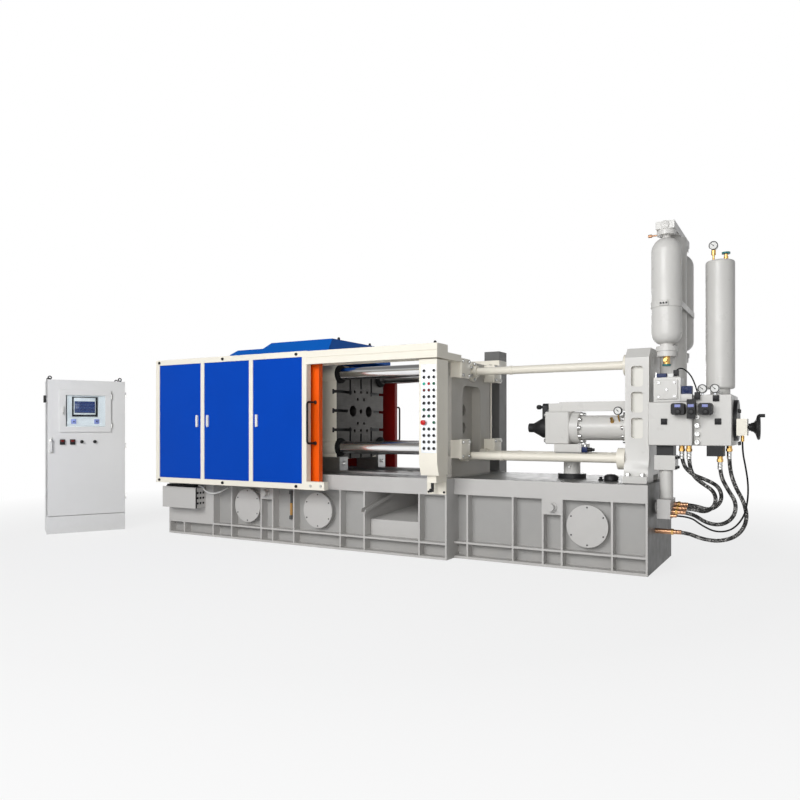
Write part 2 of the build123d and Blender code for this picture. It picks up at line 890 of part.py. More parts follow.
# Plain rear post below and above the rear rail
with BuildPart() as rear_post:
    x0 = column_x - rear_door_back
    block(x0, x0 + column_w, guard_y - column_d, guard_y, guard_low, rail_low)
    block(x0, x0 + column_w, clamp_half, guard_y - column_d, guard_low, bed_z)
    block(x0, x0 + column_w, guard_y - column_d, guard_y, rail_top, rail_top + rear_post_rise)
save(rear_post, "rear_post")

# Sliding safety doors: folded sheet trays that hang in the rails, with their pulls
doors = (("front", -1, door_edge), ("rear", 1, door_edge - rear_door_back))
for place, side, edge in doors:
    y_out = side * door_y
    y_in = side * (door_y - door_t)
    with BuildPart() as safety_door:
        block(edge - door_len, edge, y_out, y_in, door_low, door_top)
        x0 = edge - door_len + door_sheet
        x1 = edge - door_sheet
        y_skin = side * (door_y - door_sheet)
        block(x0, x1, y_skin, y_in, door_low + door_sheet, door_top - door_sheet, mode=Mode.SUBTRACT)
        for x in (edge - door_len + hanger_len, edge - 2 * hanger_len):
            block(x, x + hanger_len, y_out, y_in, door_top - door_sheet, rail_roof - hang_gap)
    save(safety_door, "safety_door_" + place)
    pull_low = door_low + pull_rise
    with BuildPart() as door_pull:
        with BuildLine() as pull_path:
            FilletPolyline(
                (edge - pull_in, y_out, pull_low),
                (edge - pull_in, y_out + side * pull_out, pull_low),
                (edge - pull_in, y_out + side * pull_out, pull_low + pull_len),
                (edge - pull_in, y_out, pull_low + pull_len),
                radius=pull_bend,
            )
        with BuildSketch(Plane(origin=pull_path.line @ 0, z_dir=pull_path.line % 0)):
            Circle(pull_r)
        sweep()
    save(door_pull, "door_pull_" + place)

# Injection column with flared foot, chamfered head and side pockets
with BuildPart() as injection_column:
    flare = inj_col_half + inj_col_flare
    crown = inj_col_half - inj_col_chamfer
    with BuildSketch(Plane.YZ.offset(inj_col_x)):
        with BuildLine():
            Polyline(
                (-flare, inj_col_low),
                (-flare, inj_col_low + flare_h),
                (-inj_col_half, inj_col_low + 2 * flare_h),
                (-inj_col_half, inj_col_top - inj_col_chamfer),
                (-crown, inj_col_top),
                (crown, inj_col_top),
                (inj_col_half, inj_col_top - inj_col_chamfer),
                (inj_col_half, inj_col_low + 2 * flare_h),
                (flare, inj_col_low + flare_h),
                (flare, inj_col_low),
                close=True,
            )
        make_face()
    extrude(amount=inj_col_t)
    pocket_pitch = (inj_col_top - col_pocket_down - inj_col_low - col_pocket_up) / col_pocket_count
    for side in (-1, 1):
        foot_y = side * (flare + inj_foot_out)
        block(inj_col_x, man_x, foot_y, side * (flare - inj_foot_w), bed_z, inj_col_low)
        with BuildSketch(Plane.XZ.offset(-side * inj_col_half)):
            with Locations((inj_col_x + inj_col_t / 2, inj_col_low + col_pocket_up)):
                for i in range(col_pocket_count):
                    with Locations((0, (i + 0.5) * pocket_pitch)):
                        RectangleRounded(
                            inj_col_t - 2 * col_pocket_edge, pocket_pitch - col_pocket_web, col_pocket_round
                        )
        extrude(amount=side * col_pocket_depth, mode=Mode.SUBTRACT)
save(injection_column, "injection_column")

# Injection frame bars with end flanges and a seam sleeve each
with BuildPart() as injection_bars:
    seam_x = (fixed_back + head_x) / 2
    for y, z in ((0, upper_bar_z), (-lower_bar_y, lower_bar_z), (lower_bar_y, lower_bar_z)):
        round_x(fixed_back, inj_col_x, y, z, frame_bar_dia / 2)
        round_x(inj_col_x - bar_flange_t, inj_col_x, y, z, bar_flange_r)
        round_x(fixed_back, fixed_back + bar_flange_t, y, z, bar_collar_r)
        round_x(seam_x, seam_x + seam_len, y, z, frame_bar_dia / 2 + seam_h)
save(injection_bars, "injection_bars")

# Shot cylinder: cube head, bolted flange and barrel, bored for the rod
with BuildPart() as shot_cylinder:
    head_r = head_w / 2
    head_back = head_x + head_len
    block(head_x, head_back, -head_r, head_r, shot_z - head_r, shot_z + head_r)
    chamfer(shot_cylinder.edges(), head_chamfer)
    round_x(head_back, head_back + flange_len, 0, shot_z, flange_dia / 2)
    round_x(head_back, inj_col_x, 0, shot_z, barrel_dia / 2)
    round_x(inj_col_x - end_ring_len, inj_col_x, 0, shot_z, flange_dia / 2)
    round_x(head_x, inj_col_x - bore_end, 0, shot_z, rod_dia / 2 + run_gap, mode=Mode.SUBTRACT)
save(shot_cylinder, "shot_cylinder")

# Jack and saddle under the shot cylinder
with BuildPart() as shot_support:
    saddle_x = head_x + saddle_in
    saddle_top = shot_z - head_w / 2
    block(saddle_x, saddle_x + saddle_len, -saddle_w / 2, saddle_w / 2, saddle_top - saddle_h, saddle_top)
    chamfer(shot_support.edges().group_by(Axis.Z)[0], saddle_chamfer)
    jack_x = saddle_x + saddle_len / 2
    round_z(bed_z, saddle_top - saddle_h, jack_x, 0, jack_r)
    round_z(bed_z, bed_z + jack_ring_h, jack_x, 0, jack_ring_r)
save(shot_support, "shot_support")

# Plunger: turned coupling cone, rod, arm and stroke sensor rod
with BuildPart() as plunger:
    cone_x = head_x - rod_gap
    rod_end = head_x + shot_stroke + rod_stay
    with BuildSketch(Plane.XZ):
        with BuildLine():
            Polyline(
                (cone_x, shot_z),
                (cone_x, shot_z + cone_dia / 2),
                (cone_x - cone_back, shot_z + cone_dia / 2),
                (cone_x - cone_len, shot_z + cone_tip_dia / 2),
                (cone_x - cone_len - cone_tip_len, shot_z + cone_tip_dia / 2),
                (cone_x - cone_len - cone_tip_len, shot_z),
                close=True,
            )
        make_face()
    revolve(axis=Axis((0, 0, shot_z), (1, 0, 0)))
    round_x(cone_x, rod_end, 0, shot_z, rod_dia / 2)
    with BuildSketch(Plane.YZ.offset(cone_x - cone_back)):
        with Locations((0, (shot_z + sensor_z) / 2)):
            SlotCenterToCenter(sensor_z - shot_z, arm_w, rotation=90)
    extrude(amount=cone_back)
    round_x(cone_x, rod_end, 0, sensor_z, sensor_r)
save(plunger, "plunger")

# Guide bar for the stroke sensor rod on top of the shot cylinder
with BuildPart() as sensor_guide:
    guide_x = head_x + guide_in
    head_top = shot_z + head_w / 2
    block(head_x, guide_x, -guide_w / 2, guide_w / 2, head_top, sensor_z + sensor_r * 2)
    block(guide_x, inj_col_x, -guide_w / 2, guide_w / 2, sensor_z - guide_h / 2, sensor_z + guide_h / 2)
    block(guide_x, head_x + head_len, -guide_w / 2, guide_w / 2, head_top, sensor_z)
    round_x(head_x, inj_col_x - bore_end, 0, sensor_z, sensor_r + run_gap, mode=Mode.SUBTRACT)
save(sensor_guide, "sensor_guide")

# Manifold blocks behind the injection column
with BuildPart() as main_manifold:
    block(man_x, manifold_x, -manifold_half, manifold_half, manifold_low, manifold_top)
    chamfer(main_manifold.edges(), man_chamfer)
save(main_manifold, "main_manifold")

with BuildPart() as side_manifold:
    block(manifold_x, side_x, -side_half, side_half, manifold_low, side_top)
    chamfer(side_manifold.edges(), man_chamfer)
    round_x(side_x, end_flange_x, 0, (manifold_low + side_top) / 2, end_flange_r)
    wheel_face = end_flange_x + wheel_box_d
    y0 = wheel_y - wheel_box
    y1 = wheel_y + wheel_box
    block(end_flange_x, wheel_face, y0, y1, wheel_z - wheel_box, wheel_z + wheel_box)
    x0 = wheel_face - shaft_in - hub_gap
    round_x(x0, wheel_face, wheel_y, wheel_z, shaft_r + run_gap, mode=Mode.SUBTRACT)
save(side_manifold, "side_manifold")

# Valve block with its square front plate
with BuildPart() as valve_block:
    x0 = man_x + valve_in
    block(x0, x0 + valve_w, -manifold_half, -manifold_half + valve_d, manifold_top, manifold_top + valve_h)
    x1 = x0 + valve_w - valve_plate_in
    z0 = manifold_top + valve_plate_in
    z1 = manifold_top + valve_h - valve_plate_in
    block(x0 + valve_plate_in, x1, -manifold_half - valve_plate_t, -manifold_half, z0, z1)
save(valve_block, "valve_block")

# Black solenoid coils, plug and relief block on the manifolds
with BuildPart() as control_valves:
    coil_z = manifold_top - coil_down
    for face, x in ((manifold_half, manifold_x - coil_in), (side_half, manifold_x + coil_in)):
        with BuildSketch(Plane.XZ.offset(face)):
            with Locations((x, coil_z)):
                RectangleRounded(coil_w, coil_h, coil_round)
        extrude(amount=coil_out)
    x0 = manifold_x - plug_w / 2
    y0 = -manifold_half - plug_out
    block(x0, x0 + plug_w, y0, -manifold_half, coil_z - plug_h / 2, coil_z + plug_h / 2)
    x0 = manifold_x + coil_in
    y0 = -side_half + man_chamfer
    block(x0, x0 + under_w, y0, -side_half + under_d, manifold_low - under_h, manifold_low)
save(control_valves, "control_valves")

# Blue pilot valves: one on a riser on the main manifold, one on the valve block
with BuildPart() as pilot_valves:
    x1 = manifold_x - man_chamfer
    y0 = -manifold_half + man_chamfer
    block(x1 - pilot_w, x1, y0, y0 + pilot_w, manifold_top, manifold_top + pilot_base_h + pilot_h)
    x0 = man_x + valve_in + valve_plate_in
    z0 = manifold_top + valve_h
    block(x0, x0 + pilot_w, y0, y0 + pilot_w, z0, z0 + pilot_h / 2)
save(pilot_valves, "pilot_valves")

# Pressure gauges on stems above the side manifold
with BuildPart() as pressure_gauges:
    gauge_y = -side_half + coil_h / 2
    for i in range(2):
        x = manifold_x + coil_in - gauge_r + i * gauge_step
        round_z(side_top, side_top + gauge_rise, x, gauge_y, gauge_stem_r)
        round_y(gauge_y - gauge_t / 2, gauge_y + gauge_t / 2, x, side_top + gauge_rise, gauge_r)
save(pressure_gauges, "pressure_gauges")

# Nitrogen bottles hung from the bridge block, with the piston accumulator between
with BuildPart() as nitrogen_bottles:
    for y in (-bottle_y, bottle_y):
        round_z(bottle_low, bottle_top, bottle_x, y, bottle_dia / 2)
    fillet(nitrogen_bottles.edges().filter_by(GeomType.CIRCLE), bottle_end)
    for y in (-bottle_y, bottle_y):
        round_z(bottle_top - bottle_end, bridge_z, bottle_x, y, collar_r)
        round_z(bottle_low - neck_h, bottle_low + bottle_end, bottle_x, y, collar_r)
save(nitrogen_bottles, "nitrogen_bottles")

with BuildPart() as piston_accumulator:
    round_z(manifold_top, bridge_z, bottle_x, 0, piston_dia / 2)
save(piston_accumulator, "piston_accumulator")

# Bridge block over the bottles and the strap round them
with BuildPart() as bottle_mounts:
    bridge_r = bridge_w / 2
    block(bottle_x - bridge_r, bottle_x + bridge_r, -bottle_y - bridge_r, bottle_y + bridge_r,
          bridge_z, bridge_z + bridge_h)
    with BuildSketch(Plane.XY.offset(bottle_low + strap_rise)):
        with Locations((bottle_x, 0)):
            SlotCenterToCenter(2 * bottle_y, bottle_dia + 2 * strap_t, rotation=90)
            SlotCenterToCenter(2 * bottle_y, bottle_dia, rotation=90, mode=Mode.SUBTRACT)
    extrude(amount=strap_h)
save(bottle_mounts, "bottle_mounts")

# Gas tank on the side manifold
with BuildPart() as gas_tank:
    round_z(tank_low, tank_top, tank_x, tank_y, tank_dia / 2)
    fillet(gas_tank.edges().filter_by(GeomType.CIRCLE), tank_end)
    round_z(side_top, tank_low + tank_end, tank_x, tank_y, tank_neck_r)
save(gas_tank, "gas_tank")

# Brass filling valves under the bottles and on the gas tank
with BuildPart() as gas_valves:
    for y in (-bottle_y, bottle_y):
        z1 = bottle_low - neck_h
        round_z(z1 - brass_len, z1, bottle_x, y, brass_r)
        round_y(y - tap_len, y, bottle_x, z1 - brass_len / 2, tap_r)
        z0 = z1 - brass_len
        round_z(z0 - valve_wheel_t, z0, bottle_x, y, valve_wheel_r)
    x = tank_x - tank_gauge_out
    dial_z = tank_top + tank_gauge_rise
    round_z(tank_top, dial_z, x, tank_y, gauge_stem_r)
    round_z(dial_z - gauge_rise - brass_r, dial_z - gauge_rise + brass_r / 2, x, tank_y, 2 * gauge_stem_r)
    round_y(tank_y - gauge_t / 2, tank_y + gauge_t / 2, x, dial_z, gauge_r)
    x = tank_x + tank_valve_out
    round_z(tank_top, tank_top + tap_len, x, tank_y, tap_r)
    round_z(tank_top, tank_top + tap_len / 2, x, tank_y, 2 * gauge_stem_r)
    z0 = tank_top + tap_len
    round_z(z0 - valve_wheel_t, z0, x, tank_y, valve_wheel_r)
save(gas_valves, "gas_valves")

# Handwheel with spokes, hub, shaft and knob
with BuildPart() as handwheel:
    wheel_x = end_flange_x + wheel_out
    rim_r = wheel_r - wheel_rim_r
    round_x(wheel_face - shaft_in, wheel_x, wheel_y, wheel_z, shaft_r)
    with Locations(Location((wheel_x, wheel_y, wheel_z), (0, 90, 0))):
        Torus(rim_r, wheel_rim_r)
    round_x(wheel_face + hub_gap, wheel_x + wheel_rim_r, wheel_y, wheel_z, hub_r)
    x0 = wheel_x - spoke_t / 2
    x1 = wheel_x + spoke_t / 2
    for dy, dz in ((rim_r, spoke_w / 2), (spoke_w / 2, rim_r)):
        block(x0, x1, wheel_y - dy, wheel_y + dy, wheel_z - dz, wheel_z + dz)
    round_x(wheel_x, wheel_x + wheel_rim_r + knob_len, wheel_y, wheel_z + rim_r, shaft_r)
save(handwheel, "handwheel")

# Return pipe from the manifold down to a header and into the injection base
header_top = header_low + header_h
header_x = pipe_x + header_front
with BuildPart() as return_pipes:
    spacer_z = manifold_low - pipe_spacer_h
    flange_z = spacer_z - pipe_block_h
    for half, z0, z1 in ((pipe_spacer, spacer_z, manifold_low), (pipe_block, flange_z, spacer_z)):
        block(pipe_x - half, pipe_x + half, pipe_y - half, pipe_y + half, z0, z1)
    round_z(header_low, flange_z, pipe_x, pipe_y, pipe_r)
    block(pipe_x - header_back, header_x, pipe_y - header_near, pipe_y + header_far, header_low, header_top)
    round_x(inj_right, pipe_x, pipe_y, (header_low + header_top) / 2, pipe_r)
save(return_pipes, "return_pipes")

# Hose ends: place of each nipple on the manifolds and on the header
port_x = header_x + nipple_len
port_z = manifold_low - nipple_len
port_step = 58.0
port_first = 48.0
port_drop = 22.0
first_y = pipe_y + header_far - port_step / 2
first_z = header_top - port_first
ends = []
for i in range(4):
    ends.append((port_x, first_y - i * port_step, first_z - i * port_drop))
drain_end = (inj_right + drain_len, drain_y, drain_rise)
relief_z = manifold_low - under_h - nipple_len
port_near = 35.0
port_far = 70.0
port_in = 27.0
cable_z = wheel_z - wheel_box - nipple_len
starts = (
    (manifold_x - 3 * port_in, -manifold_half + port_far, port_z),
    (manifold_x - port_in, -manifold_half + port_near, port_z),
    (manifold_x + coil_in + under_w - port_in, -side_half + 2 * port_near, relief_z),
    (side_x - port_in, -side_half + under_d - port_near, port_z),
    (end_flange_x + wheel_box_d / 2, wheel_y, cable_z),
)

with BuildPart() as hose_fittings:
    for x, y, z in starts[:4]:
        round_z(z, z + nipple_len, x, y, nipple_r)
    x, y, z = starts[4]
    round_z(z, z + nipple_len, x, y, cable_dia)
    for x, y, z in ends[:3]:
        round_x(header_x, x, y, z, nipple_r)
    x, y, z = ends[3]
    round_x(header_x, x, y, z, cable_dia)
    x, y, z = drain_end
    round_x(inj_right, x, y, z, nipple_r)
save(hose_fittings, "hose_fittings")

# Hanging hoses and cable, each a tube of straight runs and tangent arcs.
# A turning point is set from the corner below the two manifolds.
hx = manifold_x
hz = manifold_low
routes = (
    ("hose_1", hose_dia, starts[0], ends[0], (
        (-81, -220, -130), (-18, -212, -208), (82, -198, -245), (173, -180, -296), (186, -161, -402),
        (102, -143, -473))),
    ("hose_2", hose_dia, starts[1], ends[1], (
        (-27, -255, -130), (0, -252, -215), (54, -246, -264), (146, -240, -325), (152, -228, -419),
        (82, -212, -480))),
    ("hose_3", hose_dia, starts[2], ends[2], (
        (171, -160, -210), (222, -170, -310), (281, -184, -400), (270, -200, -500), (194, -216, -563),
        (90, -234, -555))),
    ("hose_4", hose_dia, starts[3], drain_end, (
        (228, -115, -160), (266, -125, -290), (333, -138, -410), (350, -150, -535), (290, -165, -640),
        (175, -180, -685), (55, -195, -675))),
    ("control_cable", cable_dia, starts[4], ends[3], (
        (316, -120, -45), (338, -140, -150), (357, -165, -270), (355, -185, -390), (330, -208, -505),
        (255, -232, -595), (150, -262, -610), (58, -290, -560))),
)
lead = 92.0
for name, dia, start, end, turns in routes:
    points = [Vector(*start)]
    for dx, y, dz in turns:
        points.append(Vector(hx + dx, y, hz + dz))
    points.append(Vector(end[0] + lead, end[1], end[2]))
    points.append(Vector(*end))
    radii = []
    for before, here, after in zip(points, points[1:], points[2:]):
        run_in = here - before
        run_out = after - here
        turn = acos(max(-1, min(1, run_in.normalized().dot(run_out.normalized()))))
        radii.append(0.45 * min(run_in.length, run_out.length) / tan(turn / 2))
    print(name, "bend radii", [round(r) for r in radii])
    with BuildPart() as hose:
        with BuildLine() as route:
            FilletPolyline(*points, radius=radii)
        with BuildSketch(Plane(origin=route.line @ 0, z_dir=route.line % 0)):
            Circle(dia / 2)
        sweep()
    full = route.wire().length * pi * dia * dia / 4
    print(name, "length", round(route.wire().length), "volume ratio", round(hose.part.volume / full, 3))
    save(hose, name)

# Control cabinet, built square and turned into place
cab_place = Location((cab_x, cab_y, 0), (0, 0, cab_turn))


def cab_block(u0, u1, v0, v1, z0, z1, mode=Mode.ADD):
    """Block in cabinet coordinates: across the front, back from the front, up."""
    with Locations(cab_place * Location(((u0 + u1) / 2, (v0 + v1) / 2, (z0 + z1) / 2))):
        Box(abs(u1 - u0), abs(v1 - v0), abs(z1 - z0), mode=mode)


def cab_point(u, v, z):
    """Machine coordinates in metres of a point on the cabinet."""
    c = cos(radians(cab_turn))
    s = sin(radians(cab_turn))
    x = cab_x + u * c - v * s
    y = cab_y + u * s + v * c
    return [round(x / 1000, 5), round(y / 1000, 5), round(z / 1000, 5)]


with BuildPart() as cabinet_body:
    back = cab_d - cab_wall
    roof = cab_h - cab_wall
    cab_block(0, cab_w, door_panel_t, cab_d, 0, cab_h)
    cab_block(cab_wall, cab_w - cab_wall, door_panel_t, back, plinth_h, roof, mode=Mode.SUBTRACT)
    cab_block(0, cab_w, 0, door_panel_t, 0, plinth_h - cab_gap)
    plate_w = cab_w - cab_plate_gap
    plate_z = plinth_h + cab_plate_gap
    cab_block(cab_plate_gap, plate_w, back - cab_plate_t, back, plate_z, roof - cab_plate_gap)
save(cabinet_body, "cabinet_body")

win_end = win_in + win_w
win_z1 = cab_h - win_down
win_z0 = win_z1 - win_h
with BuildPart() as cabinet_door:
    back = door_panel_t - hinge_gap
    u0 = cab_gap + door_skin
    u1 = cab_w - door_skin
    cab_block(cab_gap, cab_w, 0, back, plinth_h, cab_h)
    cab_block(u0, u1, door_skin, back, plinth_h + door_skin, cab_h - door_skin, mode=Mode.SUBTRACT)
    u0 = win_in + screen_edge
    u1 = win_end - screen_edge
    cab_block(u0, u1, 0, door_skin, win_z0 + screen_edge, win_z1 - screen_edge, mode=Mode.SUBTRACT)
    u0 = cab_gap + handle_in
    cab_block(u0, u0 + handle_w, -handle_out, 0, handle_rise, handle_rise + handle_len)
save(cabinet_door, "cabinet_door")

# Screen panel let into the door, with a raised bezel
with BuildPart() as screen_unit:
    u0 = win_in + screen_edge
    z0 = win_z0 + screen_edge
    cab_block(u0, win_end - screen_edge, 0, back, z0, win_z1 - screen_edge)
    u0 = u0 + bezel_in
    z0 = z0 + bezel_low
    cab_block(u0, u0 + bezel_w, -screen_lift, 0, z0, z0 + bezel_h)
save(screen_unit, "screen_unit")

# Hinged window frame over the screen, and its glass
with BuildPart() as screen_window:
    face = -win_t - hinge_gap
    cab_block(win_in, win_end, face, -hinge_gap, win_z0, win_z1)
    u0 = win_in + win_edge
    u1 = win_end - win_edge
    cab_block(u0, u1, face, -hinge_gap, win_z0 + win_edge, win_z1 - win_edge, mode=Mode.SUBTRACT)
save(screen_window, "screen_window")

with BuildPart() as window_glass:
    v0 = face + glass_in
    cab_block(u0, u1, v0, v0 + glass_t, win_z0 + win_edge, win_z1 - win_edge)
save(window_glass, "window_glass")

print("door hinge", cab_point(cab_w, 0, cab_h / 2))
print("window hinge", cab_point(win_end, face, (win_z0 + win_z1) / 2))
print("wheel", end_flange_x + wheel_out, wheel_y, wheel_z)
print("bases", clamp_left, clamp_right, inj_right, chute_left, chute_right, "platen", fixed_x, fixed_back)
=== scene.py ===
# %% [markdown]
# # A cold chamber die casting machine
# This lesson dresses a machine that was first built as solids. The solids come
# in as a fixed frame, in metres, with X along the machine, the operator on the
# -Y side and the floor at Z = 0. Everything made here rides on one of their
# bodies, so doors, platen and plunger carry their own screws and handles.

import math

import bmesh
import bpy
from mathutils import Matrix, Vector


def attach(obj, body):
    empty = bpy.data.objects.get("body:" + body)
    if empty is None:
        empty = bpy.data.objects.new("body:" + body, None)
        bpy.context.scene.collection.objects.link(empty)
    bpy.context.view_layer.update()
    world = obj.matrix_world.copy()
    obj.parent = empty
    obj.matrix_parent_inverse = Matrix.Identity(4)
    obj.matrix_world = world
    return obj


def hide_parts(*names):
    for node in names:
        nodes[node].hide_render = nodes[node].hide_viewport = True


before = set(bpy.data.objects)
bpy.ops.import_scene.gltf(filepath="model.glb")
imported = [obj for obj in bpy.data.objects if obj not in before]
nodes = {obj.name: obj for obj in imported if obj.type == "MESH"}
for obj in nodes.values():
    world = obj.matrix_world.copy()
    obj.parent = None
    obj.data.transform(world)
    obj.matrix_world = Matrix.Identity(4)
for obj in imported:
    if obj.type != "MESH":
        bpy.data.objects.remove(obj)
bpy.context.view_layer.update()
print("solids loaded:", len(nodes))

# %% [markdown]
# ## The camera
# A photograph is matched by four things: where the lens stands, which way it
# looks, its focal length and the shift of its middle. A level camera keeps the
# tall cabinet and columns upright, and the shift then frames the machine.

# %% Camera
IMAGE = 800
FOCAL_PX = 690
MIDDLE_PX = (440, 429)
LENS_AT = (3.685, -5.477, 1.05)
YAW = math.radians(28.2)

lens = bpy.data.cameras.new("photo_lens")
lens.sensor_width = 36
lens.lens = lens.sensor_width * FOCAL_PX / IMAGE
lens.shift_x = (IMAGE / 2 - MIDDLE_PX[0]) / IMAGE
lens.shift_y = (MIDDLE_PX[1] - IMAGE / 2) / IMAGE
lens.clip_end = 200
camera = bpy.data.objects.new("photo_camera", lens)
camera.location = LENS_AT
camera.rotation_euler = (math.radians(90), 0, YAW)
scene = bpy.context.scene
scene.collection.objects.link(camera)
scene.camera = camera
scene.view_settings.view_transform = "Standard"
print("lens", round(lens.lens, 2), "mm, shift", round(lens.shift_x, 3), round(lens.shift_y, 3))

# %% [markdown]
# ## Node groups for finishes
# Several materials share the same kinds of wear. Each kind is one node group
# with named sockets, so a finish only sets its own numbers. The groups put out
# colours, roughness and heights; the shader itself stays in the material.

# %% Group helpers
WEAR = (("Colour", "Color"), ("Roughness", "Float"), ("Height", "Float"))


def new_group(name, inputs, outputs):
    """A shader group with its sockets, and its two end nodes."""
    group = bpy.data.node_groups.new(name, "ShaderNodeTree")
    for label, kind, value in inputs:
        socket = group.interface.new_socket(name=label, in_out="INPUT", socket_type="NodeSocket" + kind)
        socket.default_value = value
    for label, kind in outputs:
        group.interface.new_socket(name=label, in_out="OUTPUT", socket_type="NodeSocket" + kind)
    return group, group.nodes.new("NodeGroupInput"), group.nodes.new("NodeGroupOutput")


def add_node(tree, kind, **settings):
    """A node of that kind; each setting is a socket's label or a property."""
    node = tree.nodes.new(kind)
    for key, value in settings.items():
        if key in node.inputs:
            node.inputs[key].default_value = value
        else:
            setattr(node, key, value)
    return node


def feed(tree, value, socket):
    """Links a socket, or writes a plain number to it."""
    if isinstance(value, (int, float)):
        socket.default_value = value
    else:
        tree.links.new(value, socket)


def noise(tree, coordinates, scale, detail=3.0, roughness=0.55):
    """Cloudy noise in the object's own metres."""
    node = add_node(tree, "ShaderNodeTexNoise", Detail=detail, Roughness=roughness)
    feed(tree, scale, node.inputs["Scale"])
    tree.links.new(coordinates, node.inputs["Vector"])
    return node.outputs["Fac"]


def remap(tree, value, low, high, to_low=0.0, to_high=1.0):
    """Stretches a value from one range to another and clamps it."""
    node = tree.nodes.new("ShaderNodeMapRange")
    tree.links.new(value, node.inputs["Value"])
    for label, amount in (("From Min", low), ("From Max", high), ("To Min", to_low), ("To Max", to_high)):
        feed(tree, amount, node.inputs[label])
    return node.outputs["Result"]


def times(tree, first, second):
    """Product of two values."""
    node = add_node(tree, "ShaderNodeMath", operation="MULTIPLY")
    feed(tree, first, node.inputs[0])
    feed(tree, second, node.inputs[1])
    return node.outputs["Value"]


def mix_colour(tree, mask, first, second):
    """First colour where the mask is 0 and second where it is 1."""
    node = add_node(tree, "ShaderNodeMix", data_type="RGBA")
    feed(tree, mask, node.inputs[0])
    tree.links.new(first, node.inputs[6])
    tree.links.new(second, node.inputs[7])
    return node.outputs[2]


def put_out(tree, outputs, colour, roughness, height):
    """Joins what a wear group made to its three outputs."""
    tree.links.new(colour, outputs.inputs["Colour"])
    tree.links.new(roughness, outputs.inputs["Roughness"])
    tree.links.new(height, outputs.inputs["Height"])


print("group helpers ready")

# %% [markdown]
# ### Paint that has stood in a workshop
# Sprayed paint is never one flat colour: it is a little cloudy, has the fine
# dimples of the spray, and gathers pale dust near the floor. Object
# coordinates are metres here, so the scales are real sizes.

# %% Painted sheet and castings
DUST = (0.42, 0.40, 0.37, 1)
DUST_LINE = 0.35
CLOUD_SCALE, SPECK_SCALE, SHEEN_SCALE = 1.7, 7, 11
paint_group, g_in, g_out = new_group(
    "workshop_paint",
    (
        ("Paint", "Color", (0.5, 0.5, 0.5, 1)),
        ("Shade", "Color", (0.3, 0.3, 0.3, 1)),
        ("Mottle", "Float", 0.2),
        ("Dust", "Float", 0.3),
        ("Gloss Low", "Float", 0.3),
        ("Gloss High", "Float", 0.45),
        ("Dimple Scale", "Float", 260.0),
    ),
    WEAR,
)
tree = paint_group
where = add_node(tree, "ShaderNodeTexCoord").outputs["Object"]
clouds = times(tree, remap(tree, noise(tree, where, CLOUD_SCALE, 5), 0.4, 0.72), g_in.outputs["Mottle"])
colour = mix_colour(tree, clouds, g_in.outputs["Paint"], g_in.outputs["Shade"])
up = add_node(tree, "ShaderNodeSeparateXYZ")
tree.links.new(where, up.inputs["Vector"])
specks = remap(tree, noise(tree, where, SPECK_SCALE, 6, 0.7), 0.35, 0.7)
dust = times(tree, times(tree, remap(tree, up.outputs["Z"], DUST_LINE, 0.0), specks), g_in.outputs["Dust"])
dust_colour = add_node(tree, "ShaderNodeRGB")
dust_colour.outputs[0].default_value = DUST
colour = mix_colour(tree, dust, colour, dust_colour.outputs[0])
sheen = noise(tree, where, SHEEN_SCALE, 4)
gloss = remap(tree, sheen, 0.3, 0.7, g_in.outputs["Gloss Low"], g_in.outputs["Gloss High"])
dimples = noise(tree, where, g_in.outputs["Dimple Scale"], 2)
put_out(tree, g_out, colour, gloss, dimples)
print(paint_group.name, "has", len(paint_group.nodes), "nodes")

# %% [markdown]
# ### Machined metal
# A milled or ground face carries fine parallel lines. Noise stretched along
# one axis gives them, and a slow cloud on top gives the oil film and handling
# marks that break up the shine.

# %% Milled and ground metal
STAIN_SCALE = 5
metal_group, g_in, g_out = new_group(
    "machined_metal",
    (
        ("Metal", "Color", (0.6, 0.6, 0.6, 1)),
        ("Stain", "Color", (0.3, 0.3, 0.3, 1)),
        ("Line Stretch", "Vector", (6, 6, 260)),
        ("Stain Amount", "Float", 0.4),
        ("Gloss Low", "Float", 0.2),
        ("Gloss High", "Float", 0.4),
    ),
    WEAR,
)
tree = metal_group
where = add_node(tree, "ShaderNodeTexCoord").outputs["Object"]
stretch = add_node(tree, "ShaderNodeVectorMath", operation="MULTIPLY")
tree.links.new(where, stretch.inputs[0])
tree.links.new(g_in.outputs["Line Stretch"], stretch.inputs[1])
lines = noise(tree, stretch.outputs["Vector"], 1.0, 3, 0.6)
film = remap(tree, noise(tree, where, STAIN_SCALE, 6, 0.65), 0.42, 0.75)
stains = times(tree, film, g_in.outputs["Stain Amount"])
colour = mix_colour(tree, stains, g_in.outputs["Metal"], g_in.outputs["Stain"])
gloss = remap(tree, lines, 0.3, 0.7, g_in.outputs["Gloss Low"], g_in.outputs["Gloss High"])
put_out(tree, g_out, colour, gloss, lines)
print(metal_group.name, "has", len(metal_group.nodes), "nodes")
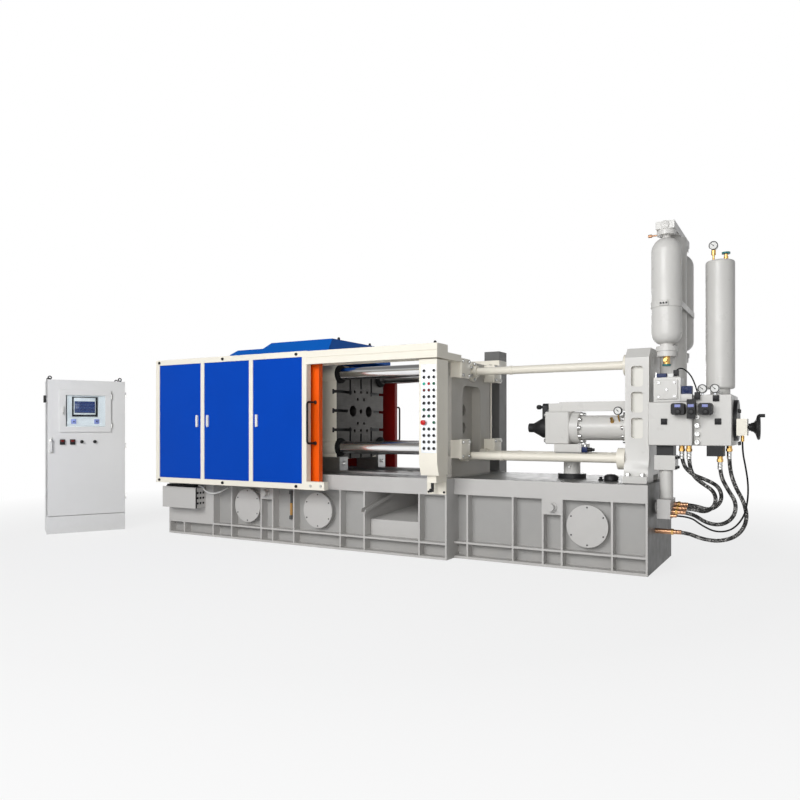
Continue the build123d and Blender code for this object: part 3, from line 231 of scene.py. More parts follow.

# %% [markdown]
# ### Braided hose and moulded plastic
# The hoses wear a black woven sleeve. Small cells stand for the crossings of the
# braid, and their pale flecks are partly paler threads and partly painted
# highlights where the weave catches the light. The same group, with finer cells
# and little contrast, gives moulded plastic its grain.

# %% Braid and moulded grain
PATCH_SCALE = 30
cell_group, g_in, g_out = new_group(
    "small_cells",
    (
        ("Ground", "Color", (0.02, 0.02, 0.02, 1)),
        ("Thread", "Color", (0.2, 0.2, 0.2, 1)),
        ("Cell Scale", "Float", 180.0),
        ("Contrast", "Float", 0.8),
        ("Gloss Low", "Float", 0.4),
        ("Gloss High", "Float", 0.7),
    ),
    WEAR,
)
tree = cell_group
where = add_node(tree, "ShaderNodeTexCoord").outputs["Object"]
cells = add_node(tree, "ShaderNodeTexVoronoi", feature="F1")
tree.links.new(where, cells.inputs["Vector"])
tree.links.new(g_in.outputs["Cell Scale"], cells.inputs["Scale"])
apart = cells.outputs["Distance"]
patches = remap(tree, noise(tree, where, PATCH_SCALE, 4), 0.42, 0.62)
spots = times(tree, remap(tree, apart, 0.55, 0.2), patches)
spots = times(tree, spots, g_in.outputs["Contrast"])
colour = mix_colour(tree, spots, g_in.outputs["Ground"], g_in.outputs["Thread"])
gloss = remap(tree, apart, 0.1, 0.6, g_in.outputs["Gloss Low"], g_in.outputs["Gloss High"])
put_out(tree, g_out, colour, gloss, apart)
print(cell_group.name, "has", len(cell_group.nodes), "nodes")

# %% [markdown]
# ## The finishes
# One function places a group in a new material, joins it to the shader and
# sets what is the same all over, metalness and the strength of the shine, on
# the shader's own sockets.

# %% Finish helper
BUMP_DEPTH = 0.002
SHADE_SHARE, STAIN_SHARE = 0.72, 0.45


def finish(name, slot, group, bump, metallic=0.0, shine=0.5, **values):
    """A material from one wear group; the values are the group's sockets."""
    material = bpy.data.materials.new(name)
    material.use_nodes = True
    made = material.node_tree
    shader = made.nodes["Principled BSDF"]
    shader.inputs["Metallic"].default_value = metallic
    shader.inputs["Specular IOR Level"].default_value = shine
    wear = made.nodes.new("ShaderNodeGroup")
    wear.node_tree = group
    for label, value in values.items():
        wear.inputs[label.replace("_", " ")].default_value = value
    height = add_node(made, "ShaderNodeBump", Strength=bump, Distance=BUMP_DEPTH)
    made.links.new(wear.outputs["Colour"], shader.inputs["Base Color"])
    made.links.new(wear.outputs["Roughness"], shader.inputs["Roughness"])
    made.links.new(wear.outputs["Height"], height.inputs["Height"])
    made.links.new(height.outputs["Normal"], shader.inputs["Normal"])
    return material


def painted(name, slot, colour, mottle=0.25, dust=0.0, low=0.3, high=0.42, shine=0.4, bump=0.05):
    """Sprayed paint in that colour."""
    shade = tuple(SHADE_SHARE * c for c in colour) + (1,)
    return finish(name, slot, paint_group, bump, shine=shine, Paint=(*colour, 1), Shade=shade, Mottle=mottle,
                  Dust=dust, Gloss_Low=low, Gloss_High=high)


def machined(name, slot, colour, stretch, stain=0.4, low=0.22, high=0.42, bump=0.1):
    """Bare metal with tool marks across the axis that is stretched most."""
    dark = tuple(STAIN_SHARE * c for c in colour) + (1,)
    return finish(name, slot, metal_group, bump, metallic=1.0, Metal=(*colour, 1), Stain=dark,
                  Line_Stretch=stretch, Stain_Amount=stain, Gloss_Low=low, Gloss_High=high)


def moulded(name, slot, colour, thread=None, scale=700.0, contrast=0.3, low=0.35, high=0.5, shine=0.25,
            bump=0.1):
    """Plastic, rubber or woven sleeve."""
    thread = thread or tuple(min(1, 1.6 * c + 0.01) for c in colour)
    return finish(name, slot, cell_group, bump, shine=shine, Ground=(*colour, 1), Thread=(*thread, 1),
                  Cell_Scale=scale, Contrast=contrast, Gloss_Low=low, Gloss_High=high)


print("finish helpers ready")

# %% [markdown]
# The colours were read from the photograph and written as linear values: a
# warm grey base, cream frames, light grey hydraulics, strong blue panels and
# an orange door. The rear door's dark red is that orange with painted shade.

# %% Paints
MATT = {"low": 0.4, "high": 0.55}
SATIN = {"low": 0.35, "high": 0.5}
base_paint = painted("base_grey_paint", "base_grey", (0.50, 0.49, 0.475), mottle=0.3, dust=0.4, **MATT)
cream_paint = painted("cream_paint", "cream", (0.82, 0.78, 0.68), mottle=0.18, low=0.32, high=0.45)
casting_paint = painted("casting_paint", "cream", (0.46, 0.44, 0.40), mottle=0.35, bump=0.12, **MATT)
# Dark grey of the rear post; on the +X end of the injection base it is painted shade.
post_paint = painted("rear_post_paint", "base_grey", (0.12, 0.12, 0.116), **MATT)
# Darker grey on the recessed web plates of the bases: painted shade under the beams.
web_painted_shade = painted("base_web_paint", "base_grey", (0.36, 0.355, 0.345), mottle=0.35, dust=0.4,
                    low=0.45, high=0.6)
grey_paint = painted("light_grey_paint", "light_grey", (0.61, 0.60, 0.575), mottle=0.2, low=0.26, high=0.4)
# Paler grey inside the column's pockets: painted light falling into them.
pocket_painted_light = painted("pocket_painted_light", "light_grey", (0.70, 0.685, 0.64), mottle=0.2, **SATIN)
cabinet_paint = painted("cabinet_paint", "light_grey", (0.75, 0.75, 0.75), mottle=0.15, dust=0.15, **SATIN)
blue_paint = painted("blue_paint", "blue", (0.0004, 0.054, 0.42), shine=0.06)
hood_paint = painted("hood_blue_paint", "blue", (0.002, 0.10, 0.46), low=0.32, high=0.45, shine=0.08)
orange_paint = painted("orange_paint", "orange", (0.83, 0.10, 0.003), mottle=0.12, shine=0.2)
# The rear door is orange like the front one; this dark red is its painted shade.
shaded_orange_paint = painted("dark_red_paint", "orange", (0.26, 0.006, 0.004), shine=0.2, **SATIN)
dark_paint = painted("dark_grey_paint", "black_iron", (0.07, 0.07, 0.07), **MATT)

# %% [markdown]
# Bare metal is told apart by its tool marks as much as by its colour: level
# lines on the die faces, lines along the ways and rings round the chrome bars.

# %% Metals
die_steel = machined("die_face_steel", "machined", (0.088, 0.084, 0.08), (8, 8, 240), stain=0.6,
                     low=0.4, high=0.6)
way_steel = machined("way_steel", "machined", (0.46, 0.46, 0.46), (3, 300, 300), low=0.25, high=0.4)
bar_chrome = machined("bar_chrome", "chrome_bar", (0.92, 0.92, 0.92), (240, 4, 4), 0.12, 0.12, 0.2, bump=0.02)
bright_plate = machined("bright_plate", "plate_silver", (0.74, 0.76, 0.79), (300, 6, 6), 0.1, 0.4, 0.55)
zinc = machined("zinc_screw", "machined", (0.56, 0.56, 0.55), (90, 90, 90), stain=0.3, low=0.25, high=0.4)
brass = machined("brass_fitting", "copper", (0.62, 0.38, 0.13), (120, 120, 120), low=0.25)
copper = machined("copper_fitting", "copper", (0.52, 0.29, 0.17), (120, 120, 120), stain=0.5,
                  low=0.28, high=0.45)

# %% [markdown]
# Plastic, rubber and blackened steel share the small cells. Only the braid has
# a strong contrast; on the others the cells are a fine grain that breaks the
# shine.

# %% Plastics, rubber and braid
black_plastic = moulded("black_plastic", "black", (0.012, 0.012, 0.013))
black_oxide = moulded("black_oxide", "black_iron", (0.018, 0.018, 0.019), scale=420, contrast=0.5,
                      low=0.3, high=0.45)
# The braid's pale flecks are partly paler threads and partly painted highlights of the weave.
braid = moulded("braided_sleeve", "rubber", (0.012, 0.012, 0.012), (0.75, 0.73, 0.70), 150, 1.0, 0.35, 0.6,
                bump=0.5)
cable_rubber = moulded("cable_rubber", "rubber", (0.012, 0.012, 0.012), scale=500, contrast=0.2,
                       low=0.65, high=0.8, shine=0.06)
red_plastic = moulded("red_plastic", "orange", (0.50, 0.008, 0.008), low=0.2, high=0.32)
dark_red_plastic = moulded("dark_red_plastic", "orange", (0.14, 0.006, 0.006), low=0.2, high=0.32)
green_plastic = moulded("green_plastic", "black", (0.008, 0.10, 0.05), low=0.2, high=0.32)
lamp_green = moulded("green_lamp", "black", (0.02, 0.42, 0.30), low=0.1, high=0.2)
teal_plastic = moulded("teal_plastic", "blue", (0.01, 0.16, 0.17), low=0.25, high=0.4)
navy_plastic = moulded("navy_plastic", "blue", (0.003, 0.014, 0.075), low=0.25, high=0.4)
amber_tube = moulded("amber_tube", "amber", (0.42, 0.23, 0.07), scale=300, low=0.08, high=0.2)
white_plastic = moulded("white_plastic", "light_grey", (0.72, 0.72, 0.70), scale=500, low=0.25, high=0.35)
blue_label = moulded("pale_blue_label", "blue", (0.24, 0.27, 0.55), low=0.3, high=0.4)

# %% [markdown]
# ## Hoses and the cable
# The braided hoses drop from the manifold, swing out and come back to the
# header on the return pipe. Each follows the same turning points as its solid.
# A NURBS curve of order 3 with those points as its cage hangs smoothly, where
# straight runs would look like bent wire.

# %% Hanging hoses
CORNER_X, CORNER_Z = 2.945, 0.93
HOSE = 0.028
CABLE = 0.012
LEAD = 0.092
PORT_Z = CORNER_Z - 0.042
HEADER = (2.842, -0.139, 0.492)
HEADER_STEP = (0, -0.058, -0.022)
DRAIN = (2.804, -0.2, 0.295)


def header_port(place):
    """Where a hose enters the header, counted from the top."""
    return tuple(HEADER[k] + place * HEADER_STEP[k] for k in range(3))


def smooth_run(name, points, size):
    """A round NURBS curve with those points as its cage."""
    data = bpy.data.curves.new(name, "CURVE")
    data.dimensions = "3D"
    data.bevel_depth = size / 2
    data.bevel_resolution = 5
    data.resolution_u = 10
    spline = data.splines.new("NURBS")
    spline.points.add(len(points) - 1)
    for knot, place in zip(spline.points, points):
        knot.co = (*place, 1)
    spline.order_u = 3
    spline.use_endpoint_u = True
    return bpy.data.objects.new(name, data)


def hang(name, node, size, start, turns, end, material):
    """One hose or cable from its fitting, round its turns, to its far end."""
    points = [start]
    points += [(CORNER_X + x, y, CORNER_Z + z) for x, y, z in turns]
    points += [(end[0] + LEAD, end[1], end[2]), end]
    hose = smooth_run(name, points, size)
    scene.collection.objects.link(hose)
    hose.data.materials.append(material)
    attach(hose, "machine")
    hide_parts(node)
    print(name, "follows", len(points), "points")


hose_starts = ((2.864, -0.22, PORT_Z), (2.918, -0.255, PORT_Z), (3.116, -0.16, PORT_Z - 0.075),
               (3.173, -0.115, PORT_Z))
hang("braided_hose_1", "hose_1", HOSE, hose_starts[0], (
    (-0.081, -0.220, -0.130), (-0.018, -0.212, -0.208), (0.082, -0.198, -0.245), (0.173, -0.180, -0.296),
    (0.186, -0.161, -0.402), (0.102, -0.143, -0.473)), header_port(0), braid)
hang("braided_hose_2", "hose_2", HOSE, hose_starts[1], (
    (-0.027, -0.255, -0.130), (0.0, -0.252, -0.215), (0.054, -0.246, -0.264), (0.146, -0.240, -0.325),
    (0.152, -0.228, -0.419), (0.082, -0.212, -0.480)), header_port(1), braid)
hang("braided_hose_3", "hose_3", HOSE, hose_starts[2], (
    (0.171, -0.160, -0.210), (0.222, -0.170, -0.310), (0.281, -0.184, -0.400), (0.270, -0.200, -0.500),
    (0.194, -0.216, -0.563), (0.090, -0.234, -0.555)), header_port(2), braid)
hang("braided_hose_4", "hose_4", HOSE, hose_starts[3], (
    (0.228, -0.115, -0.160), (0.266, -0.125, -0.290), (0.333, -0.138, -0.410), (0.350, -0.150, -0.535),
    (0.290, -0.165, -0.640), (0.175, -0.180, -0.685), (0.055, -0.195, -0.675)), DRAIN, braid)
hang("sensor_cable", "control_cable", CABLE, (3.261, -0.12, 0.961), (
    (0.316, -0.120, -0.045), (0.338, -0.140, -0.150), (0.357, -0.165, -0.270), (0.355, -0.185, -0.390),
    (0.330, -0.208, -0.505), (0.255, -0.232, -0.595), (0.150, -0.262, -0.610), (0.058, -0.290, -0.560)),
    header_port(3), cable_rubber)

# %% [markdown]
# ## Dressing the solids
# The solids keep their shapes. Three modifiers soften them for the eye: a weld
# joins the corners that the import leaves apart, a small bevel catches the
# light along each edge, and weighted normals keep the broad faces flat.

# %% Finishes for the solids
EDGE, WELD = 0.0025, 0.00002
CREASE = math.radians(38)
solid_finish = {
    base_paint: ("clamp_base", "injection_base", "lifting_studs", "inspection_covers", "chute_tray",
                 "terminal_box"),
    cream_paint: ("closing_cylinder", "guard_frames", "door_rails", "operator_column", "injection_bars",
                  "tie_bar_nuts", "movable_platen", "toggle_platen"),
    casting_paint: ("fixed_platen",),
    post_paint: ("rear_post",),
    grey_paint: ("injection_column", "main_manifold", "side_manifold", "valve_block", "gas_tank",
                 "nitrogen_bottles", "bottle_mounts", "shot_cylinder", "return_pipes", "sensor_guide",
                 "shot_support", "piston_accumulator"),
    cabinet_paint: ("cabinet_body", "cabinet_door", "screen_window"),
    blue_paint: ("guard_panels",),
    hood_paint: ("top_hood",),
    orange_paint: ("safety_door_front",),
    shaded_orange_paint: ("safety_door_rear",),
    black_plastic: ("door_pull_front", "door_pull_rear", "handwheel", "control_valves"),
    black_oxide: ("plunger",),
    way_steel: ("bed_ways",),
    bar_chrome: ("tie_bars",),
    bright_plate: ("button_plate", "pressure_gauges"),
    white_plastic: ("panel_latches", "screen_unit"),
    navy_plastic: ("pilot_valves",),
    brass: ("hose_fittings", "gas_valves"),
    dark_paint: ("level_gauge",),
}


def dress(name, material):
    """One finish and the three softening modifiers for a solid."""
    solid = nodes[name]
    solid.data.materials.clear()
    solid.data.materials.append(material)
    weld = solid.modifiers.new("join_corners", "WELD")
    weld.merge_threshold = WELD
    edge = solid.modifiers.new("soft_edges", "BEVEL")
    edge.width = EDGE
    edge.segments = 2
    edge.limit_method = "ANGLE"
    edge.angle_limit = CREASE
    normals = solid.modifiers.new("flat_faces", "WEIGHTED_NORMAL")
    normals.keep_sharp = False


for material, names in solid_finish.items():
    for name in names:
        dress(name, material)
print("solids dressed:", sum(len(names) for names in solid_finish.values()))

# %% [markdown]
# Some castings are painted outside and machined where other parts run on them.
# The finish is then chosen face by face, by where the face lies. Masking tape
# does the same job in a real paint shop. A few faces also get darker, lighter
# and black finishes as painted shade and painted light.

# %% Machined faces, black parts, painted shade and painted light
FACING, BACKWARD = 0.9, -0.5
DIE_FACE_X, DIE_HALF = -0.1605, 0.387
SHOE_TOP, SHOE_Y = 0.795, (0.25, 0.385)
CORE_HALF, CORE_Z = 0.3, (0.8, 1.6)
SLOT_X, SLOT_HALF, SLOT_Z = (DIE_FACE_X, -0.1125), 0.36, (SHOE_TOP, 1.6)
FIXED_FACE_X = 0.9135
POCKET_X, POCKET_Y, POCKET_Z = (2.5035, 2.5925), (0.205, 0.2495), (0.95, 1.55)
CLAMP_WEB, SHOT_WEB = (0.515, 0.525), (0.385, 0.395)
BASE_LID_Z, BASE_END_X = 0.645, 2.665
SEAL_X = (3.2005, 3.2268)
COLLAR_Z, HEADER_Z, HEADER_END_X = 0.8565, (0.395, 0.545), 2.845
JACK_FOOT_Z, RETURN_Z = 0.6905, 0.56
NECK_Z, TANK_X, TANK_TOP_Z, CAP_X, CAP_Z = 1.5205, 3.10, 2.3395, 3.09, 2.3775


def within(value, span):
    """True between the two ends of a span."""
    return span[0] < value < span[1]


def repaint(name, material, chosen):
    """Gives the faces of a solid that pass a test another finish."""
    solid = nodes[name]
    solid.data.materials.append(material)
    place = len(solid.data.materials) - 1
    count = 0
    for face in solid.data.polygons:
        if chosen(face.center, face.normal):
            face.material_index = place
            count += 1
    print(name, count, "faces in", material.name)


repaint("movable_platen", die_steel,
        lambda c, n: c.x > DIE_FACE_X and c.z > SHOE_TOP and abs(c.y) < DIE_HALF)
repaint("movable_platen", die_steel,
        lambda c, n: abs(c.y) < CORE_HALF and within(c.z, CORE_Z) and n.x > BACKWARD)
# The T-slot walls get the black finish as painted shade deep in the slots.
repaint("movable_platen", black_oxide,
        lambda c, n: within(c.x, SLOT_X) and abs(c.y) < SLOT_HALF and within(c.z, SLOT_Z))
repaint("movable_platen", way_steel, lambda c, n: c.z < SHOE_TOP and within(abs(c.y), SHOE_Y))
repaint("tie_bars", way_steel, lambda c, n: abs(n.x) > FACING)
# The front door's inner face is cream, not orange, so that the chrome bars show a pale band: a painted
# reflection.
repaint("safety_door_front", cream_paint, lambda c, n: n.y > FACING)
repaint("fixed_platen", die_steel, lambda c, n: c.x < FIXED_FACE_X)
# The pockets of the injection column take the paler grey as painted light.
repaint("injection_column", pocket_painted_light,
        lambda c, n: within(c.x, POCKET_X) and within(abs(c.y), POCKET_Y) and within(c.z, POCKET_Z))
# The recessed webs of both bases take the darker grey as painted shade.
repaint("clamp_base", web_painted_shade, lambda c, n: abs(n.y) > FACING and within(abs(c.y), CLAMP_WEB))
repaint("injection_base", web_painted_shade, lambda c, n: abs(n.y) > FACING and within(abs(c.y), SHOT_WEB))
repaint("clamp_base", way_steel, lambda c, n: n.z > FACING and c.z > BASE_LID_Z)
# The top of the injection base is dark; its +X end takes the same dark grey as painted shade.
repaint("injection_base", post_paint,
        lambda c, n: (n.z > FACING and c.z > BASE_LID_Z) or (n.x > FACING and c.x > BASE_END_X))
repaint("side_manifold", black_oxide, lambda c, n: within(c.x, SEAL_X))
repaint("side_manifold", cream_paint, lambda c, n: c.x >= SEAL_X[1])
repaint("return_pipes", black_oxide, lambda c, n: c.z > COLLAR_Z)
repaint("return_pipes", base_paint, lambda c, n: within(c.z, HEADER_Z) and c.x < HEADER_END_X)
repaint("shot_support", black_oxide, lambda c, n: c.z < JACK_FOOT_Z)
repaint("gas_valves", teal_plastic, lambda c, n: c.z < NECK_Z or (c.x > TANK_X and c.z > TANK_TOP_Z))
repaint("gas_valves", zinc, lambda c, n: c.x < CAP_X and c.z > CAP_Z)
repaint("hose_fittings", copper, lambda c, n: c.z < RETURN_Z)

# %% [markdown]
# The cabinet has a small window over its screen. Clear glass keeps its plain
# settings: full transmission, no metal, and a low roughness.

# %% Window glass
glass = bpy.data.materials.new("window_glass")
glass.use_nodes = True
clear = glass.node_tree.nodes["Principled BSDF"]
clear.inputs["Base Color"].default_value = (0.86, 0.91, 0.95, 1)
clear.inputs["Roughness"].default_value = 0.03
clear.inputs["Transmission Weight"].default_value = 1.0
clear.inputs["IOR"].default_value = 1.12
nodes["window_glass"].data.materials.clear()
nodes["window_glass"].data.materials.append(glass)
print("glass on", nodes["window_glass"].name)

# %% [markdown]
# ## Places on the solids
# Small parts sit on the faces of the solids. Where a solid ends on one side, or
# its middle, is read from its own corners, so a knob stands on its hood and a
# screw on its guard.

# %% Faces and middles
FACES = {"left": (0, min), "right": (0, max), "front": (1, min), "rear": (1, max), "foot": (2, min),
         "top": (2, max)}


def face_of(name, side):
    """Where a solid ends on that side, to a tenth of a millimetre."""
    axis, pick = FACES[side]
    return round(pick(corner.co[axis] for corner in nodes[name].data.vertices), 4)


def middle_of(name, low, high):
    """Half way between two opposite faces of a solid."""
    return round((face_of(name, low) + face_of(name, high)) / 2, 4)


print("the hood's top is at", face_of("top_hood", "top"))

# %% [markdown]
# ## Small parts
# Screws, knobs and rims are turned on a lathe, so one function spins a profile
# of radius and height pairs about an axis. Blocks get small chamfers on every
# edge. Each piece may hold a whole row of parts and rides on one body.

# %% Lathe and block helpers
SHARP = math.radians(35)
UP, FRONT, REAR = (0, 0, 1), (0, -1, 0), (0, 1, 0)
TO_SHOT, TO_CLAMP = (1, 0, 0), (-1, 0, 0)


def along(place, axis):
    """A frame at that place with its Z along the axis."""
    return Matrix.Translation(place) @ Vector(UP).rotation_difference(Vector(axis)).to_matrix().to_4x4()


def add_turned(piece, profile, place, axis=UP, sides=20):
    """Spins (radius, height) pairs about an axis."""
    turn = along(place, axis)
    closed = profile[0] == profile[-1]
    angles = [2 * math.pi * k / sides for k in range(sides)]
    rings = []
    for radius, height in profile[:-1] if closed else profile:
        spokes = angles if radius else angles[:1]
        spots = [(radius * math.cos(a), radius * math.sin(a), height) for a in spokes]
        rings.append([piece.verts.new(turn @ Vector(spot)) for spot in spots])
    if closed:
        rings.append(rings[0])
    for ring in (rings[0], rings[-1]):
        if not closed and len(ring) > 1:
            piece.faces.new(ring)
    for low, high in zip(rings, rings[1:]):
        for k in range(sides):
            n = (k + 1) % sides
            if len(high) == 1:
                piece.faces.new((low[k], low[n], high[0]))
            elif len(low) == 1:
                piece.faces.new((low[0], high[n], high[k]))
            else:
                piece.faces.new((low[k], low[n], high[n], high[k]))


def add_box(piece, low, high, edge=0.002, turn=None):
    """A block between two corners with small chamfers."""
    verts = bmesh.ops.create_cube(piece, size=1)["verts"]
    low, high = Vector(low), Vector(high)
    place = Matrix.Translation((low + high) / 2) @ Matrix.Diagonal((*(high - low), 1))
    bmesh.ops.transform(piece, matrix=turn @ place if turn else place, verts=verts)
    edges = list({e for v in verts for e in v.link_edges})
    bmesh.ops.bevel(piece, geom=edges, offset=edge, segments=2, profile=0.5, affect="EDGES")


def end_piece(piece, name, material, body="machine", place=None):
    """Turns the built faces into a piece that rides on a body."""
    bmesh.ops.recalc_face_normals(piece, faces=piece.faces)
    mesh = bpy.data.meshes.new(name)
    piece.to_mesh(mesh)
    piece.free()
    if place:
        mesh.transform(place)
    mesh.materials.append(material)
    mesh.shade_smooth()
    mesh.set_sharp_from_angle(angle=SHARP)
    shown = bpy.data.objects.new(name, mesh)
    scene.collection.objects.link(shown)
    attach(shown, body)
    return shown


def row_of(name, profile, places, axis, material, body="machine", sides=20, place=None):
    """The same turned part at several places, as one piece."""
    piece = bmesh.new()
    for spot in places:
        add_turned(piece, profile, spot, axis, sides)
    print(name, len(places))
    return end_piece(piece, name, material, body, place)


def blocks_of(name, corners, material, body="machine", edge=0.002, place=None):
    """Chamfered blocks given by their corners, as one piece."""
    piece = bmesh.new()
    for low, high in corners:
        add_box(piece, low, high, edge)
    print(name, len(corners))
    return end_piece(piece, name, material, body, place)


def circle_of(count, radius, centre, axis, start=0.0):
    """Places spread evenly round a bolt circle."""
    turn = along(centre, axis)
    angles = [start + 2 * math.pi * k / count for k in range(count)]
    return [turn @ Vector((radius * math.cos(a), radius * math.sin(a), 0)) for a in angles]


def bolt_ring(name, profile, count, radius, centre, axis, material, start=0, sides=20):
    """Screws round a bolt circle, as one piece; the first stands at the start, in degrees."""
    places = circle_of(count, radius, centre, axis, math.radians(start))
    return row_of(name, profile, places, axis, material, sides=sides)


def pipe_run(name, points, size, material, body="machine"):
    """A stiff bent pipe: a curve turned into faces."""
    run = smooth_run(name + "_run", points, size)
    mesh = bpy.data.meshes.new_from_object(run)
    mesh.name = name
    bpy.data.objects.remove(run)
    piece = bmesh.new()
    piece.from_mesh(mesh)
    bpy.data.meshes.remove(mesh)
    print(name, "bends through", len(points), "points")
    return end_piece(piece, name, material, body)


print("piece helpers ready")

# %% [markdown]
# Three heads cover nearly all the screws: a round head with a socket, a
# hexagon head, and a low button head. A ring is a closed profile.

# %% Screw profiles


def socket_head(r, h):
    """Cap screw with its socket."""
    return [(r, 0), (r, 0.85 * h), (0.92 * r, h), (0.55 * r, h), (0.5 * r, 0.4 * h), (0, 0.4 * h)]


def hex_head(r, h):
    """Hexagon head; spun with six sides."""
    return [(r, 0), (r, 0.8 * h), (0.86 * r, h), (0, h)]


def button_head(r, h):
    """Low rounded head or small knob."""
    return [(r, 0), (r, 0.35 * h), (0.86 * r, 0.72 * h), (0.5 * r, 0.95 * h), (0, h)]


def ring_of(inner, outer, h):
    """A flat ring with one softened rim."""
    soft = min(0.25 * h, 0.25 * (outer - inner))
    return [(inner, 0), (outer, 0), (outer, h - soft), (outer - soft, h), (inner, h), (inner, 0)]


print("heads ready")

# %% [markdown]
# ## Guard, hood and doors
# The guard frames are held by black cap screws at their corners, the hood
# lifts by two round knobs, and each door pull stands on two feet.

# %% Guard and door screws
SIDES = {"front": (-1, FRONT), "rear": (1, REAR)}
GUARD_Y, GUARD_ROWS = face_of("guard_frames", "rear"), (1.692, 0.557)
GUARD_X = {"front": (-1.908, -1.067, -0.205), "rear": (-1.908, -1.067, -0.33)}
DOOR_Y, PULL_FEET = face_of("safety_door_rear", "rear"), (0.927, 1.28)
PULL_X = {side: middle_of("door_pull_" + side, "left", "right") for side in SIDES}
for side, (sign, axis) in SIDES.items():
    spots = [(x, sign * GUARD_Y, z) for x in GUARD_X[side] for z in GUARD_ROWS]
    row_of("guard_screws_" + side, socket_head(0.013, 0.010), spots, axis, black_oxide)
spots = [(x, -GUARD_Y, 0.567) for x in (-0.05, 0.06)]
row_of("guide_bolts", hex_head(0.012, 0.010), spots, FRONT, zinc, sides=6)
spots = [(1.14, -0.81, face_of("door_rails", "top"))]
row_of("rail_knob", button_head(0.012, 0.02), spots, UP, black_plastic)
spots = [(-0.125, y, face_of("top_hood", "top")) for y in (-0.337, 0.169)]
row_of("hood_knobs", button_head(0.013, 0.024), spots, UP, black_plastic)
for side, (sign, axis) in SIDES.items():
    spots = [(PULL_X[side], sign * DOOR_Y, z) for z in PULL_FEET]
    row_of("pull_feet_" + side, button_head(0.017, 0.012), spots, axis, black_plastic, side + "_door")

# %% [markdown]
# ## The operator's buttons
# Three columns of push buttons, lamps and selectors sit on the silver plate,
# with one red mushroom for stopping. The rows are written as letters, one for
# each kind, so the layout can be read like the plate itself.

# %% Buttons
PLATE_Y = face_of("button_plate", "front")
BUTTON_X = (1.059, 1.102, 1.146)
TOP_ROW, ROW_STEP = 1.499, 0.0499
layout = ("k.k", "kkk", "gre", "ddk", "kkk", "skk", "esk", "sek", "m.e", "kkk", "kkk", "kkk", "kkk")
mushroom = [(0.010, 0), (0.010, 0.012), (0.021, 0.014), (0.020, 0.024), (0.012, 0.028), (0, 0.029)]
kinds = {
    "k": ("push_buttons", black_plastic, button_head(0.0115, 0.013)),
    "s": ("selector_caps", black_plastic, button_head(0.0115, 0.009)),
    "e": ("green_buttons", green_plastic, button_head(0.0115, 0.013)),
    "g": ("green_lamps", lamp_green, button_head(0.0115, 0.014)),
    "r": ("red_lamps", red_plastic, button_head(0.0115, 0.014)),
    "d": ("red_buttons", dark_red_plastic, button_head(0.0105, 0.011)),
    "m": ("stop_button", red_plastic, mushroom),
}
spots = {kind: [] for kind in kinds}
for row, letters in enumerate(layout):
    for x, kind in zip(BUTTON_X, letters):
        if kind in kinds:
            spots[kind].append((x, PLATE_Y, TOP_ROW - row * ROW_STEP))
for kind, (name, material, profile) in kinds.items():
    row_of(name, profile, spots[kind], FRONT, material)
row_of("button_collars", ring_of(0.011, 0.0152, 0.004), sum(spots.values(), []), FRONT, zinc)

# %% [markdown]
# A selector shows its position by a bar across the cap. The bars stand at an
# angle, as they would when the machine is set to run.

# %% Selector bars
piece = bmesh.new()
for spot in spots["s"]:
    tilt = Matrix.Translation(spot) @ Matrix.Rotation(math.radians(35), 4, "Y")
    add_box(piece, (-0.0035, -0.020, -0.0115), (0.0035, -0.006, 0.0115), 0.0015, tilt)
end_piece(piece, "selector_bars", black_plastic)
print("selector_bars", len(spots["s"]))

# %% [markdown]
# At the foot of the operator's column a black lever stands beside a plate,
# and four hexagon screws hold the foot to the base.

# %% Lever and column foot
LEVER_X = 1.036
FOOT_X, FOOT_Z = (0.974, 1.114), (0.545, 0.643)
plate = ((0.958, -0.612, 0.527), (1.054, -0.6003, 0.662))
blocks_of("column_foot_plate", [plate], cream_paint, edge=0.0015)
case = ((LEVER_X - 0.02, -0.66, 0.622), (LEVER_X + 0.02, -0.611, 0.664))
blocks_of("lever_case", [case], black_plastic, edge=0.004)
arm = ((LEVER_X - 0.011, -0.672, 0.55), (LEVER_X + 0.011, -0.656, 0.64))
blocks_of("lever_arm", [arm], black_oxide, edge=0.004)
knob = [(0.008, 0), (0.015, 0.004), (0.016, 0.02), (0.010, 0.027), (0, 0.028)]
row_of("lever_knob", knob, [(LEVER_X, -0.672, 0.562)], FRONT, black_plastic)
foot_screws = [(x, -0.612, z) for x in FOOT_X for z in FOOT_Z]
row_of("column_foot_screws", hex_head(0.010, 0.008), foot_screws, FRONT, black_oxide, sides=6)

# %% [markdown]
# ## Platens and tie bars
# Rubber wipers keep chips off the bars where the moving platen slides, and
# keeper plates with four bolts lock the bar nuts behind the fixed platen.

# %% Wipers and keeper plates
UPPER_Z = 1.552
BARS = [(y, z) for y in (-0.334, 0.334) for z in (0.884, UPPER_Z)]
CORNERS = [(j, k) for j in (-1, 1) for k in (-1, 1)]
wipers = [(-0.112, y, z) for y, z in BARS]
row_of("bar_wipers", ring_of(0.0565, 0.084, 0.018), wipers, TO_SHOT, cable_rubber, "sliding_platen", 40)
spots = [(face_of("movable_platen", "right"), y, 0.735) for y in (-0.3175, 0.3175)]
row_of("shoe_bolts", hex_head(0.017, 0.02), spots, TO_SHOT, zinc, "sliding_platen", 6)
KEEPER, KEEPER_BOLT = 0.081, 0.058
KEEPER_X = (1.146, 1.171)
keepers = [((KEEPER_X[0], y - KEEPER, z - KEEPER), (KEEPER_X[1], y + KEEPER, z + KEEPER)) for y, z in BARS]
blocks_of("nut_keepers", keepers, cream_paint, edge=0.004)
spots = [(KEEPER_X[1], y + j * KEEPER_BOLT, z + k * KEEPER_BOLT) for y, z in BARS for j, k in CORNERS]
